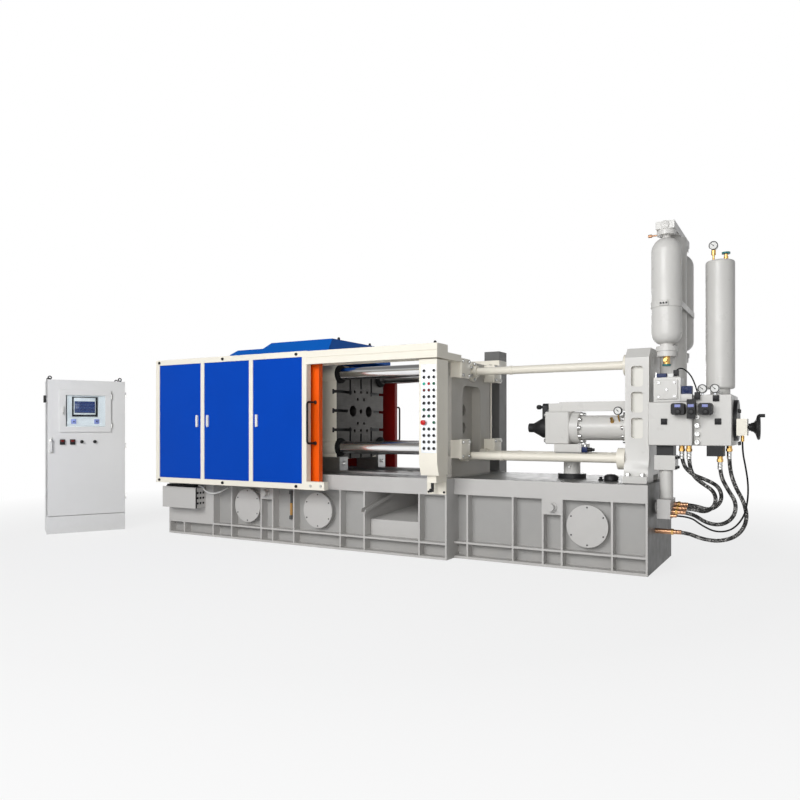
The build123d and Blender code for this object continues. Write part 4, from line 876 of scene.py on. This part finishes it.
row_of("keeper_bolts", socket_head(0.013, 0.013), spots, TO_SHOT, zinc)
PLATEN_BACK, FLANGE = face_of("fixed_platen", "right"), 0.024
flange_at = (PLATEN_BACK, 0, UPPER_Z)
row_of("upper_bar_flange", ring_of(0.0345, 0.086, FLANGE), [flange_at], TO_SHOT, cream_paint, sides=40)
bolts_at = (PLATEN_BACK + FLANGE, 0, UPPER_Z)
bolt_ring("upper_flange_bolts", socket_head(0.012, 0.013), 6, 0.067, bolts_at, TO_SHOT, zinc)

# %% [markdown]
# A thin oil pipe climbs the rear edge of the fixed platen from a small block
# with fittings, and feeds the upper bar bushes.

# %% Oil block and pipe
oil_blocks = [((PLATEN_BACK, 0.29, 0.765), (1.102, 0.37, 0.86)),
              ((PLATEN_BACK, 0.30, 0.90), (1.09, 0.35, 0.945))]
blocks_of("oil_block", oil_blocks, bright_plate, edge=0.003)
spots = [(1.102, 0.31, z) for z in (0.785, 0.812, 0.84)]
row_of("oil_fittings", hex_head(0.012, 0.016), spots, TO_SHOT, zinc, sides=6)
climb = [(1.066, 0.36, 0.87), (1.083, 0.372, 0.872), (1.083, 0.376, 0.92), (1.083, 0.376, 1.2),
         (1.083, 0.376, 1.49), (1.083, 0.374, 1.524), (1.066, 0.36, 1.526)]
pipe_run("oil_pipe", climb, 0.014, cream_paint)

# %% [markdown]
# ## The shot unit
# Cap screws ring both ends of the shot cylinder. A small gauge and brass
# fittings sit on the barrel, and a round knob ends the sensor arm.

# %% Shot cylinder screws
SHOT_Z = middle_of("shot_cylinder", "foot", "top")
HEAD_X, FLANGE_X, END_X = face_of("shot_cylinder", "left"), 2.053, 2.416
RING, HEAD_RING = 0.113, 0.145
bolt_ring("shot_flange_screws", socket_head(0.0155, 0.024), 10, RING, (FLANGE_X, 0, SHOT_Z), TO_SHOT,
          zinc, 18)
bolt_ring("end_ring_screws", socket_head(0.0145, 0.02), 10, RING, (END_X, 0, SHOT_Z), TO_CLAMP, zinc, 18)
bolt_ring("head_screws", socket_head(0.014, 0.014), 4, HEAD_RING, (HEAD_X, 0, SHOT_Z), TO_CLAMP, zinc, 45)
knob = [(0.012, 0), (0.012, 0.02), (0.019, 0.026), (0.019, 0.05), (0.012, 0.058), (0, 0.058)]
row_of("arm_knob", knob, [(1.728, 0, 1.232)], TO_CLAMP, black_plastic, "plunger_rod")

# %% [markdown]
# Pressure gauges are all made alike: a bright rim, a white dial a little
# below it and a black needle. One function makes them at any place that faces
# the operator.

# %% Gauge helper
DIAL = 0.031


def gauge_face(name, place, rim):
    """Rim, dial and needle on the front of a gauge case."""
    dial = [(0.9 * DIAL, 0), (0.9 * DIAL, 0.002), (0, 0.0025)]
    row_of(name + "_rim", ring_of(0.84 * DIAL, 1.06 * DIAL, 0.006), [place], FRONT, rim, sides=32)
    row_of(name + "_dial", dial, [place], FRONT, white_plastic, sides=32)
    needle = bmesh.new()
    tilt = Matrix.Translation(place) @ Matrix.Rotation(math.radians(-50), 4, "Y")
    add_box(needle, (-0.002, -0.0045, -0.007), (0.002, -0.003, 0.66 * DIAL), 0.0004, tilt)
    add_turned(needle, button_head(0.004, 0.003), (place[0], place[1] - 0.0025, place[2]), FRONT, 12)
    end_piece(needle, name + "_needle", black_plastic)


print("gauge helper ready")

# %% [markdown]
# Four gauges use it. The one on the barrel also gets its own case and a bent
# brass stem, with a brass fitting beside it.

# %% Gauges
GAUGE_X, GAUGE_Y, GAUGE_Z, CASE = 2.379, -0.112, 1.19, 0.028
case = [(0.029, 0), (0.032, 0.004), (0.032, 0.026), (0.029, CASE), (0, CASE)]
row_of("barrel_gauge_case", case, [(GAUGE_X, GAUGE_Y, GAUGE_Z)], FRONT, black_plastic, sides=32)
gauge_face("barrel_gauge", (GAUGE_X, GAUGE_Y - CASE, GAUGE_Z), black_plastic)
PAIR_Y = face_of("pressure_gauges", "front")
gauge_face("left_gauge", (3.001, PAIR_Y, 1.34), dark_paint)
gauge_face("right_gauge", (3.085, PAIR_Y, 1.34), dark_paint)
gauge_face("tank_gauge", (3.054, -0.014, 2.409), dark_paint)
stem = [(GAUGE_X, y, z) for y, z in ((-0.085, 1.11), (-0.11, 1.13), (-0.125, 1.15), (-0.126, 1.162))]
pipe_run("barrel_gauge_stem", stem, 0.012, brass)
fitting = [(0.016, 0), (0.016, 0.012), (0.011, 0.014), (0.011, 0.03), (0.013, 0.032), (0.013, 0.044),
           (0, 0.046)]
row_of("barrel_fittings", fitting, [(2.323, -0.084, 1.105)], (0, -0.75, 0.66), brass, sides=6)

# %% [markdown]
# Under the cylinder stand the saddle with its small lubrication valve and the
# jack. Behind them a black breather closes the tank in the base, and hexagon
# bolts hold the column foot.

# %% Saddle, jack, breather and foot bolts
JACK_X = middle_of("shot_support", "left", "right")
BASE_TOP, FILLER_Y = face_of("injection_base", "top"), -0.17
blocks_of("saddle_valve", [((2.087, -0.118, 0.864), (2.132, -0.075, 0.908))], navy_plastic, edge=0.003)
cap = [(0.017, 0), (0.017, 0.03), (0.012, 0.034), (0.012, 0.052), (0, 0.054)]
row_of("saddle_valve_cap", cap, [(2.132, -0.097, 0.886)], TO_SHOT, black_plastic)
row_of("saddle_valve_knob", button_head(0.014, 0.03), [(2.11, -0.097, 0.908)], UP, zinc)
collar = [(0.066, 0), (0.086, 0.014), (0.086, 0.026), (0.066, 0.026), (0.066, 0)]
row_of("jack_collar", collar, [(JACK_X, 0, 0.818)], UP, black_oxide, sides=36)
row_of("jack_bolt", hex_head(0.012, 0.012), [(JACK_X, -0.066, 0.745)], FRONT, zinc, sides=6)
cap = [(0.05, 0), (0.056, 0.006), (0.056, 0.026), (0.048, 0.042), (0.03, 0.051), (0, 0.054)]
row_of("breather", cap, [(2.335, FILLER_Y, BASE_TOP)], UP, black_plastic, sides=32)
plug = [(0.02, 0), (0.02, 0.012), (0.012, 0.014), (0.012, 0.03), (0, 0.033)]
row_of("filler_plug", plug, [(2.255, FILLER_Y, BASE_TOP)], UP, black_plastic)
spots = [(x, y, 0.70) for x in (2.495, 2.60) for y in (-0.311, 0.311)]
row_of("column_foot_bolts", hex_head(0.019, 0.022), spots, UP, zinc, sides=6)

# %% [markdown]
# ## Manifolds and valves
# Oil passages in the blocks are closed by square black plugs. The solenoid
# coils carry a round armature tube and a plain rating plate, and cap screws
# pull the two manifolds together along their seam.

# %% Manifold plugs, plates and screws
PLUG, PLUG_DEEP = 0.022, 0.010
AXLE_Z = 1.063
MAIN_Y, SIDE_Y = face_of("main_manifold", "front"), face_of("side_manifold", "front")
plug_spots = ((2.751, MAIN_Y, 1.104), (3.11, SIDE_Y, 1.103), (3.097, SIDE_Y, 1.268))
plugs = [((x - PLUG, y - PLUG_DEEP, z - PLUG), (x + PLUG, y + 0.002, z + PLUG)) for x, y, z in plug_spots]
blocks_of("square_plugs", plugs, black_plastic, edge=0.003)
spots = [(x, y - PLUG_DEEP, z) for x, y, z in plug_spots]
row_of("plug_knobs", button_head(0.013, 0.008), spots, FRONT, black_plastic)
spots = [(2.972, SIDE_Y, z) for z in (0.955, 1.015, 1.075, 1.135)]
row_of("seam_screws", socket_head(0.0185, 0.028), spots, FRONT, zinc)
COILS = ((2.857, -0.375, 1.192), (3.033, -0.315, 1.192), (2.945, -0.36, 1.192))
tube = [(0.019, 0), (0.019, 0.012), (0.013, 0.016), (0.013, 0.02), (0, 0.021)]
spots = [(x + 0.004, y, z - 0.02) for x, y, z in COILS]
row_of("armature_tubes", tube, spots, FRONT, black_oxide)
plates = [((x - 0.02, y - 0.002, z + 0.012), (x + 0.02, y + 0.001, z + 0.032)) for x, y, z in COILS]
blocks_of("rating_plates", plates, blue_label, edge=0.0006)
VALVE_MID = (middle_of("valve_block", "left", "right"), face_of("valve_block", "front"),
             middle_of("valve_block", "foot", "top"))
spots = [(VALVE_MID[0] + j * 0.055, VALVE_MID[1], VALVE_MID[2] + k * 0.05) for j, k in CORNERS]
row_of("valve_cover_screws", socket_head(0.010, 0.008), spots + [VALVE_MID], FRONT, way_steel)
spots = [(face_of("return_pipes", "right"), -0.17 + j * 0.05, 0.803 + k * 0.036) for j, k in CORNERS]
row_of("pipe_flange_bolts", socket_head(0.011, 0.012), spots, TO_SHOT, black_oxide)
bolt_ring("end_flange_bolts", hex_head(0.014, 0.012), 8, 0.128, (3.226, 0, AXLE_Z), TO_SHOT,
          black_oxide, 22, 6)

# %% [markdown]
# The handwheel is dished: its web runs from the hub out to the rim, so from
# the side it reads as one dark cone.

# %% Handwheel web
WEB = [(0.015, 0), (0.030, 0.004), (0.034, 0.020), (0.050, 0.034), (0.083, 0.044), (0.083, 0.052),
       (0.046, 0.044), (0.026, 0.030), (0.015, 0.030), (0.015, 0)]
row_of("handwheel_web", WEB, [(3.312, -0.12, AXLE_Z)], TO_SHOT, black_plastic, "wheel", 40)

# %% [markdown]
# The pilot valves stand on a light riser. Beside them are a pale terminal
# block, a black connector and a thin pressure line to the gauges.

# %% Pilot valves and pressure line
blocks_of("pilot_riser", [((2.866, -0.289, 1.2475), (2.944, -0.211, 1.301))], grey_paint, edge=0.003)
knob = [(0.022, 0), (0.022, 0.004), (0.018, 0.006), (0.006, 0.006), (0.006, 0.010), (0, 0.010)]
row_of("pilot_knob", knob, [(2.905, -0.285, 1.332)], FRONT, navy_plastic, sides=28)
blocks_of("terminal_blocks", [((2.772, -0.283, 1.425), (2.815, -0.232, 1.452))], white_plastic, edge=0.003)
connectors = [((2.812, -0.275, 1.435), (2.848, -0.238, 1.478)),
              ((2.956, -0.268, 1.262), (2.992, -0.228, 1.314))]
blocks_of("connectors", connectors, black_plastic, edge=0.004)
vent = [(0.016, 0), (0.016, 0.018), (0.011, 0.02), (0.011, 0.04), (0, 0.043)]
row_of("block_vent", vent, [(2.688, -0.25, 1.424)], UP, zinc)
bends = [(2.832, -0.255, 1.474), (2.855, -0.255, 1.50), (2.915, -0.25, 1.46), (2.955, -0.245, 1.385),
         (2.974, -0.243, 1.31)]
pipe_run("pressure_line", bends, 0.010, cable_rubber)

# %% [markdown]
# Every hose ends in a crimped ferrule behind a hexagon nut. The upper ones
# are bright, and the ones at the return header are copper coloured.

# %% Hose ferrules
INNER, CRIMP, BULGE = 0.0145, 0.0155, 0.0172
FERRULE = [(INNER, 0), (BULGE, 0.002), (BULGE, 0.014), (CRIMP, 0.018), (BULGE, 0.022), (BULGE, 0.036),
           (CRIMP, 0.04), (BULGE, 0.044), (BULGE, 0.052), (INNER, 0.054), (INNER, 0)]
NUT_HOLE, NUT, CHAMFER = 0.0165, 0.0225, 0.002
DOWN = (0, 0, -1)


def hose_nut(h):
    """A nut with chamfered ends, as a closed profile; spun with six sides."""
    return [(NUT_HOLE, 0), (NUT, CHAMFER), (NUT, h - CHAMFER), (NUT_HOLE, h), (NUT_HOLE, 0)]


row_of("upper_ferrules", FERRULE, hose_starts, DOWN, zinc)
row_of("upper_hose_nuts", hose_nut(0.022), hose_starts, UP, brass, sides=6)
header_spots = [header_port(0), header_port(1), header_port(2), DRAIN]
row_of("header_ferrules", FERRULE, header_spots, TO_SHOT, copper)
row_of("header_hose_nuts", hose_nut(0.02), header_spots, TO_CLAMP, brass, sides=6)

# %% [markdown]
# ## Bottles and tank
# The bridge over the bottles shows a round boss to the front and a small
# bleed knob on the bottle neck. A clamp with three bolts closes the strap.

# %% Bottle fittings
BOTTLE_X, BOTTLE_Y = middle_of("nitrogen_bottles", "left", "right"), 0.28
FOOT = face_of("nitrogen_bottles", "foot")
SHELL, FOOT_ARC, DOME_ARC = 0.107, 0.077, 0.104
KNUCKLE, SHOULDER = 1.742, 2.336


def arc(centre_r, centre_z, size, start, stop, steps=9):
    """Points on a quarter round of a turned profile, by angle from level."""
    angles = [math.radians(start + (stop - start) * k / (steps - 1)) for k in range(steps)]
    return [(centre_r + size * math.cos(a), centre_z + size * math.sin(a) - FOOT) for a in angles]


bottle = [(0.068, 0), (0.068, 0.038), (0.075, 0.039), (0.075, 0.073), (0.048, 0.074)]
bottle += arc(SHELL - FOOT_ARC, KNUCKLE, FOOT_ARC, -76.5, 0)
bottle += arc(SHELL - DOME_ARC, SHOULDER, DOME_ARC, 0, 75, 14)
bottle += [(0.03, 0.879), (0.066, 0.879), (0.068, 0.881), (0.068, 0.915)]
stands = [(BOTTLE_X, y, FOOT) for y in (-BOTTLE_Y, BOTTLE_Y)]
shells = row_of("bottle_shells", bottle, stands, UP, grey_paint, sides=64)
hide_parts("nitrogen_bottles")
boss = [(0.03, 0), (0.03, 0.007), (0.025, 0.010), (0.008, 0.010), (0.008, 0.005), (0, 0.005)]
row_of("bridge_boss", boss, [(BOTTLE_X, -0.346, 2.518)], FRONT, grey_paint, sides=28)
knob = [(0.006, 0), (0.006, 0.036), (0.012, 0.04), (0.012, 0.062), (0.008, 0.066), (0, 0.066)]
row_of("bleed_knob", knob, [(2.702, -BOTTLE_Y, 2.465)], TO_CLAMP, copper)
STRAP_Y, STRAP_Z = 0.394, 1.948
CLAMP_X = (2.737, 2.797)
CLAMP_THICK, CLAMP_HIGH = 0.008, 0.018
low, high = STRAP_Z - CLAMP_HIGH, STRAP_Z + CLAMP_HIGH
clamps = [((CLAMP_X[0], y - CLAMP_THICK, low), (CLAMP_X[1], y + CLAMP_THICK, high))
          for y in (-STRAP_Y, STRAP_Y)]
blocks_of("strap_clamps", clamps, grey_paint, edge=0.003)
for side, (sign, axis) in SIDES.items():
    spots = [(x, sign * (STRAP_Y + CLAMP_THICK), STRAP_Z) for x in (2.748, BOTTLE_X, 2.786)]
    row_of("strap_bolts_" + side, socket_head(0.007, 0.008), spots, axis, black_oxide)

# %% [markdown]
# ## The base
# Six screws hold each inspection cover. A comb on the terminal box carries
# the machine's wires, and a pale conduit leads from it into the base. The box
# has a black seal behind its lid and cable plugs in its side.

# %% Cover screws, wire comb and conduit
CLAMP_Y, SHOT_Y = face_of("inspection_covers", "rear"), 0.452
COVERS = ((-1.008, CLAMP_Y), (-0.1755, CLAMP_Y), (2.2275, SHOT_Y))
COVER_Z, COVER_RING = 0.327, 0.14
for side, (sign, axis) in SIDES.items():
    spots = []
    for x, y in COVERS:
        spots += circle_of(6, COVER_RING, (x, sign * y, COVER_Z), axis, math.radians(30))
    row_of("cover_screws_" + side, button_head(0.0065, 0.005), spots, axis, dark_paint, sides=16)
COMB_X = (-1.965, -1.575)
COMB_TEETH = 13
comb = [((COMB_X[0], -0.712, 0.4845), (COMB_X[1], -0.632, 0.490))]
pitch = (COMB_X[1] - COMB_X[0]) / COMB_TEETH
for tooth in range(COMB_TEETH):
    x = COMB_X[0] + (tooth + 0.5) * pitch
    comb.append(((x - 0.009, -0.706, 0.488), (x + 0.009, -0.638, 0.505)))
blocks_of("wire_comb", comb, black_plastic, edge=0.0015)
bends = [(-1.58, -0.65, 0.496), (-1.535, -0.645, 0.492), (-1.505, -0.63, 0.44), (-1.44, -0.618, 0.424),
         (-1.384, -0.608, 0.426), (-1.345, -0.575, 0.448), (-1.315, -0.522, 0.477)]
pipe_run("pale_conduit", bends, 0.018, white_plastic)
row_of("oil_column", ring_of(0.0102, 0.0128, 0.11), [(-0.509, -0.541, 0.262)], UP, amber_tube)
vents = [(-1.5375, y, z) for y in (-0.70, -0.665, -0.63) for z in (0.33, 0.38, 0.43)]
row_of("box_vents", button_head(0.011, 0.004), vents, TO_SHOT, black_plastic, sides=14)
blocks_of("box_gasket", [((-1.5385, -0.7292, 0.283), (-1.5332, -0.714, 0.481))], black_plastic, edge=0.0006)

# %% [markdown]
# Castings fall on a folded pan and slide out of the opening. Its top is nearly
# level and its front stands upright. A small open gutter beside it leads spilt
# spray outside. Both are sheet metal, so an outline is pushed along a line.

# %% Chute pan and gutter


def add_prism(piece, outline, shift):
    """A closed outline pushed along a straight line."""
    near = [piece.verts.new(spot) for spot in outline]
    far = [piece.verts.new(Vector(spot) + Vector(shift)) for spot in outline]
    piece.faces.new(near)
    piece.faces.new(far)
    for k in range(len(near)):
        n = (k + 1) % len(near)
        piece.faces.new((near[k], near[n], far[n], far[k]))


PAN_X, PAN_LONG = 0.347, 0.516
pan_outline = ((0.501, 0.346), (-0.500, 0.277), (-0.507, 0.2745), (-0.51, 0.268), (-0.51, 0.137),
               (-0.502, 0.137), (-0.502, 0.265), (0.493, 0.338), (0.493, 0.137), (0.501, 0.137))
GUTTER, GUTTER_RUN = (0.343, -0.656, 0.34), (0, 0.566, 0.14)
WIDE, DEEP, SHEET = 0.044, 0.034, 0.004
section = ((0, 0), (WIDE, 0), (WIDE, DEEP), (WIDE - SHEET, DEEP), (WIDE - SHEET, SHEET), (SHEET, SHEET),
           (SHEET, DEEP), (0, DEEP))
piece = bmesh.new()
add_prism(piece, [(PAN_X, y, z) for y, z in pan_outline], (PAN_LONG, 0, 0))
add_prism(piece, [(GUTTER[0] + x, GUTTER[1], GUTTER[2] + z) for x, z in section], GUTTER_RUN)
pan = end_piece(piece, "chute_pan", base_paint)
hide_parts("chute_tray")
print("chute pan and gutter")

# %% [markdown]
# ## The closing cylinder
# At the far end of the clamp the closing cylinder is bolted to the toggle
# platen by its flange, and tie screws hold its end cap.

# %% Closing cylinder bolts
CLOSE_X, CLOSE_Z = face_of("closing_cylinder", "left"), 1.218
bolt_ring("closing_flange_bolts", hex_head(0.015, 0.014), 8, 0.178, (-2.04, 0, CLOSE_Z), TO_CLAMP,
          zinc, 22, 6)
bolt_ring("closing_cap_screws", socket_head(0.012, 0.008), 8, 0.125, (CLOSE_X, 0, CLOSE_Z), TO_CLAMP, zinc)
spots = [(x, 0, 1.362) for x in (-2.34, -2.10)]
row_of("closing_ports", hex_head(0.024, 0.03), spots, UP, zinc, sides=6)

# %% [markdown]
# ## The control cabinet
# The cabinet stands turned toward the operator, so its small parts are laid
# out in its own frame: u across the front, v into the cabinet, z up. One
# matrix then carries them to the floor plan.

# %% Cabinet frame and door parts
CABINET = Matrix.Translation((-3.011, -1.275, 0)) @ Matrix.Rotation(math.radians(60), 4, "Z")
ON_DOOR = {"body": "cabinet_door", "place": CABINET}
ON_WINDOW = {"body": "screen_flap", "place": CABINET}
SCREEN_BACK = -0.004


def flat_strips(spans, front):
    """Thin plates at the screen, each given by its left, low, right and high."""
    return [((left, front, low), (right, SCREEN_BACK, high)) for left, low, right, high in spans]


bezel = ((0.223, 1.176, 0.457, 1.197), (0.223, 1.367, 0.457, 1.376),
         (0.223, 1.19, 0.239, 1.37), (0.437, 1.19, 0.457, 1.37))
blocks_of("screen_bezel", flat_strips(bezel, -0.0068), black_plastic, edge=0.0006, **ON_DOOR)
ROCKER_U = (0.115, 0.205)
rockers = [((u, -0.018, 0.892), (u + 0.046, 0.0, 0.946)) for u in ROCKER_U]
blocks_of("rocker_cases", rockers, black_plastic, edge=0.003, **ON_DOOR)
tops = [((u + 0.007, -0.0225, 0.92), (u + 0.039, -0.016, 0.94)) for u in ROCKER_U]
blocks_of("rocker_tops", tops, dark_red_plastic, edge=0.002, **ON_DOOR)
knob = [(0.017, 0), (0.017, 0.006), (0.013, 0.009), (0.012, 0.024), (0, 0.026)]
row_of("cabinet_knobs", knob, [(u, 0, 0.92) for u in (0.312, 0.432)], FRONT, black_plastic, **ON_DOOR)
lock = [(0.014, 0), (0.014, 0.004), (0.010, 0.006), (0, 0.006)]
row_of("door_lock", lock, [(0.038, -0.026, 0.932)], FRONT, zinc, **ON_DOOR)
plate = ((0.022, -0.006, 0.808), (0.054, 0.0, 0.966))
blocks_of("door_handle_plate", [plate], white_plastic, edge=0.002, **ON_DOOR)

# %% [markdown]
# Behind the window the screen sits in a white frame with two sockets under
# it. The picture on it is only soft bands of blue, so that it reads as a lit
# screen without showing anything.

# %% Screen
screen_glow = bpy.data.materials.new("screen_glow")
screen_glow.use_nodes = True
tree = screen_glow.node_tree
shader = tree.nodes["Principled BSDF"]
shader.inputs["Base Color"].default_value = (0.004, 0.01, 0.04, 1)
shader.inputs["Roughness"].default_value = 0.15
shader.inputs["Emission Strength"].default_value = 0.8
BAND_RATE = 190.0
where = add_node(tree, "ShaderNodeTexCoord").outputs["Object"]
up = add_node(tree, "ShaderNodeSeparateXYZ")
tree.links.new(where, up.inputs["Vector"])
bands = add_node(tree, "ShaderNodeMath", operation="SINE")
tree.links.new(times(tree, up.outputs["Z"], BAND_RATE), bands.inputs[0])
tones = [add_node(tree, "ShaderNodeRGB") for _ in range(2)]
tones[0].outputs[0].default_value = (0.006, 0.016, 0.085, 1)
tones[1].outputs[0].default_value = (0.02, 0.05, 0.16, 1)
stripes = remap(tree, bands.outputs["Value"], 0.2, 0.6)
glow = mix_colour(tree, stripes, tones[0].outputs[0], tones[1].outputs[0])
tree.links.new(glow, shader.inputs["Emission Color"])
screen = ((0.246, 1.213, 0.433, 1.332),)
blocks_of("screen_face", flat_strips(screen, -0.0055), screen_glow, edge=0.0003, **ON_DOOR)
white_frame = ((0.239, 1.197, 0.437, 1.213), (0.239, 1.332, 0.437, 1.367),
               (0.239, 1.21, 0.246, 1.335), (0.433, 1.21, 0.4375, 1.335))
blocks_of("screen_frame", flat_strips(white_frame, -0.0062), white_plastic, edge=0.0004, **ON_DOOR)
SOCKET_U = (0.216, 0.426)
sockets = [((u, -0.005, 1.102), (u + 0.046, 0.0, 1.15)) for u in SOCKET_U]
blocks_of("socket_plates", sockets, blue_label, edge=0.0015, **ON_DOOR)
holes = [(u + 0.023, -0.005, 1.126) for u in SOCKET_U]
row_of("socket_holes", button_head(0.007, 0.002), holes, FRONT, black_plastic, **ON_DOOR)
# A black strip along the window's left inner edge: painted shadow at the door's cut-out.
gasket = ((0.165, -0.0035, 1.072), (0.178, 0.0, 1.394))
blocks_of("window_cutout_shadow", [gasket], black_plastic, edge=0.001, **ON_DOOR)

# %% [markdown]
# The window swings on two small hinges and has its own white handle. Two eyes
# on the roof let a crane lift the cabinet, and hinges show on the door's right.

# %% Window handle, hinges and lifting eyes
handle = ((0.135, -0.036, 1.195), (0.152, -0.0165, 1.275))
blocks_of("window_handle", [handle], white_plastic, edge=0.004, **ON_WINDOW)
spots = [(0.1435, -0.036, 1.21)]
row_of("window_keyhole", button_head(0.004, 0.002), spots, FRONT, black_plastic, **ON_WINDOW)
HINGE_PIN = [(0.006, 0), (0.006, 0.05), (0.004, 0.053), (0, 0.053)]
spots = [(0.588, -0.011, z) for z in (1.06, 1.36)]
row_of("window_hinges", HINGE_PIN, spots, UP, zinc, **ON_DOOR)
spots = [(0.7215, 0.004, z) for z in (0.32, 0.85, 1.38)]
row_of("door_hinges", HINGE_PIN, spots, UP, zinc, place=CABINET)
EYE, EYE_WIRE, EYE_LIFT = 0.014, 0.0055, 0.008
ROOF_Z = face_of("cabinet_body", "top")
loop = [2 * math.pi * k / 12 for k in range(12)]
eye = [(EYE + EYE_WIRE * math.cos(a), EYE_WIRE * math.sin(a)) for a in loop]
piece = bmesh.new()
for u in (0.03, 0.672):
    for v in (0.05, 0.35):
        add_turned(piece, eye + eye[:1], (u, v, ROOF_Z + EYE + EYE_LIFT), FRONT, 28)
        add_turned(piece, button_head(0.016, 0.01), (u, v, ROOF_Z), UP)
end_piece(piece, "lifting_eyes", black_oxide, place=CABINET)
side_socket = ((-0.022, 0.12, 1.318), (0.0, 0.19, 1.39))
blocks_of("side_socket", [side_socket], black_plastic, edge=0.003, place=CABINET)

# %% [markdown]
# ## Light and floor
# The light of an even workshop starts with a pale world that fills the shadows.
# The camera sees it as plain white. What the metal mirrors is white at eye
# level and greyer overhead, so the chrome bars show a dark band along their
# tops.

# %% World
FILL_LEVEL, END_SHADE, MIRROR_LEVEL = (0.46, 0.24), (1.0, 0.4), (0.95, 0.18)
world = bpy.data.worlds.new("studio")
scene.world = world
world.use_nodes = True
tree = world.node_tree
fill = tree.nodes["Background"]
fill.inputs["Color"].default_value = (0.95, 0.97, 1.0, 1)
mirrored = add_node(tree, "ShaderNodeBackground", Color=(1, 1, 1, 1))
seen_sky = add_node(tree, "ShaderNodeBackground", Color=(1, 1, 1, 1), Strength=1.0)
toward = add_node(tree, "ShaderNodeSeparateXYZ")
tree.links.new(add_node(tree, "ShaderNodeTexCoord").outputs["Generated"], toward.inputs["Vector"])
from_front = remap(tree, toward.outputs["Z"], -0.3, 0.9, *FILL_LEVEL)
from_end = remap(tree, toward.outputs["X"], 0.2, 1.0, *END_SHADE)
tree.links.new(times(tree, from_front, from_end), fill.inputs["Strength"])
overhead = remap(tree, toward.outputs["Z"], 0.15, 0.75, *MIRROR_LEVEL)
tree.links.new(overhead, mirrored.inputs["Strength"])


def seen_rays(tree, labels=("Is Camera Ray", "Is Glossy Ray", "Is Transmission Ray")):
    """1 for rays of those kinds, 0 for rays that only light."""
    path = add_node(tree, "ShaderNodeLightPath")
    value = path.outputs[labels[0]]
    for label in labels[1:]:
        either = add_node(tree, "ShaderNodeMath", operation="MAXIMUM")
        tree.links.new(value, either.inputs[0])
        tree.links.new(path.outputs[label], either.inputs[1])
        value = either.outputs["Value"]
    return value


def choose(tree, mask, first, second):
    """First shader where the mask is 0 and second where it is 1."""
    node = tree.nodes.new("ShaderNodeMixShader")
    tree.links.new(mask, node.inputs["Fac"])
    tree.links.new(first.outputs[0], node.inputs[1])
    tree.links.new(second.outputs[0], node.inputs[2])
    return node


lit = choose(tree, seen_rays(tree, ("Is Glossy Ray",)), fill, mirrored)
lit = choose(tree, seen_rays(tree, ("Is Camera Ray", "Is Transmission Ray")), lit, seen_sky)
tree.links.new(lit.outputs[0], tree.nodes["World Output"].inputs["Surface"])
print("world set")

# %% [markdown]
# Three broad lamps do the rest: one on the operator's side, a low one to its
# right that reaches into the die space, and one behind the machine.

# %% Lamps


def lamp(name, place, aim, size, watts):
    """A broad soft lamp that looks at a point."""
    light = bpy.data.lights.new(name, "AREA")
    light.shape = "RECTANGLE"
    light.size, light.size_y = size
    light.energy = watts
    holder = bpy.data.objects.new(name, light)
    holder.location = place
    holder.rotation_euler = (Vector(aim) - Vector(place)).to_track_quat("-Z", "Y").to_euler()
    scene.collection.objects.link(holder)


MIDDLE = (0.3, -0.4, 0.9)
lamp("front_lamp", (0.2, -9.0, 4.4), MIDDLE, (5, 3), 520)
lamp("low_lamp", (4.2, -8.5, 2.0), (1.2, -0.4, 1.2), (3, 3), 190)
lamp("rear_lamp", (-0.3, 9.0, 2.4), MIDDLE, (5, 3), 220)

# %% [markdown]
# The floor is one pale plane. For rays that look it glows a little, more so
# with distance, so it runs into the white backdrop while the shadow under the
# machine stays.

# %% Floor
FLOOR, FLOOR_Z = 40, -0.001
FADE_FROM, FADE_TO, GLOW_NEAR = 3.6, 7.0, 0.78
mesh = bpy.data.meshes.new("pale_floor")
ends = ((-1, -1), (1, -1), (1, 1), (-1, 1))
corners = [(x * FLOOR, y * FLOOR, FLOOR_Z) for x, y in ends]
mesh.from_pydata(corners, [], [(0, 1, 2, 3)])
floor = bpy.data.objects.new("pale_floor", mesh)
scene.collection.objects.link(floor)
pale = bpy.data.materials.new("pale_floor")
pale.use_nodes = True
tree = pale.node_tree
surface = tree.nodes["Principled BSDF"]
surface.inputs["Base Color"].default_value = (0.62, 0.62, 0.62, 1)
surface.inputs["Roughness"].default_value = 0.9
surface.inputs["Specular IOR Level"].default_value = 0.1
far = add_node(tree, "ShaderNodeVectorMath", operation="LENGTH")
tree.links.new(add_node(tree, "ShaderNodeTexCoord").outputs["Object"], far.inputs[0])
fade = remap(tree, far.outputs["Value"], FADE_FROM, FADE_TO, GLOW_NEAR, 1.0)
white = add_node(tree, "ShaderNodeEmission", Color=(1, 1, 1, 1))
blend = choose(tree, times(tree, fade, seen_rays(tree)), surface, white)
tree.links.new(blend.outputs[0], tree.nodes["Material Output"].inputs["Surface"])
mesh.materials.append(pale)
print("floor spans", 2 * FLOOR, "m")

# %% [markdown]
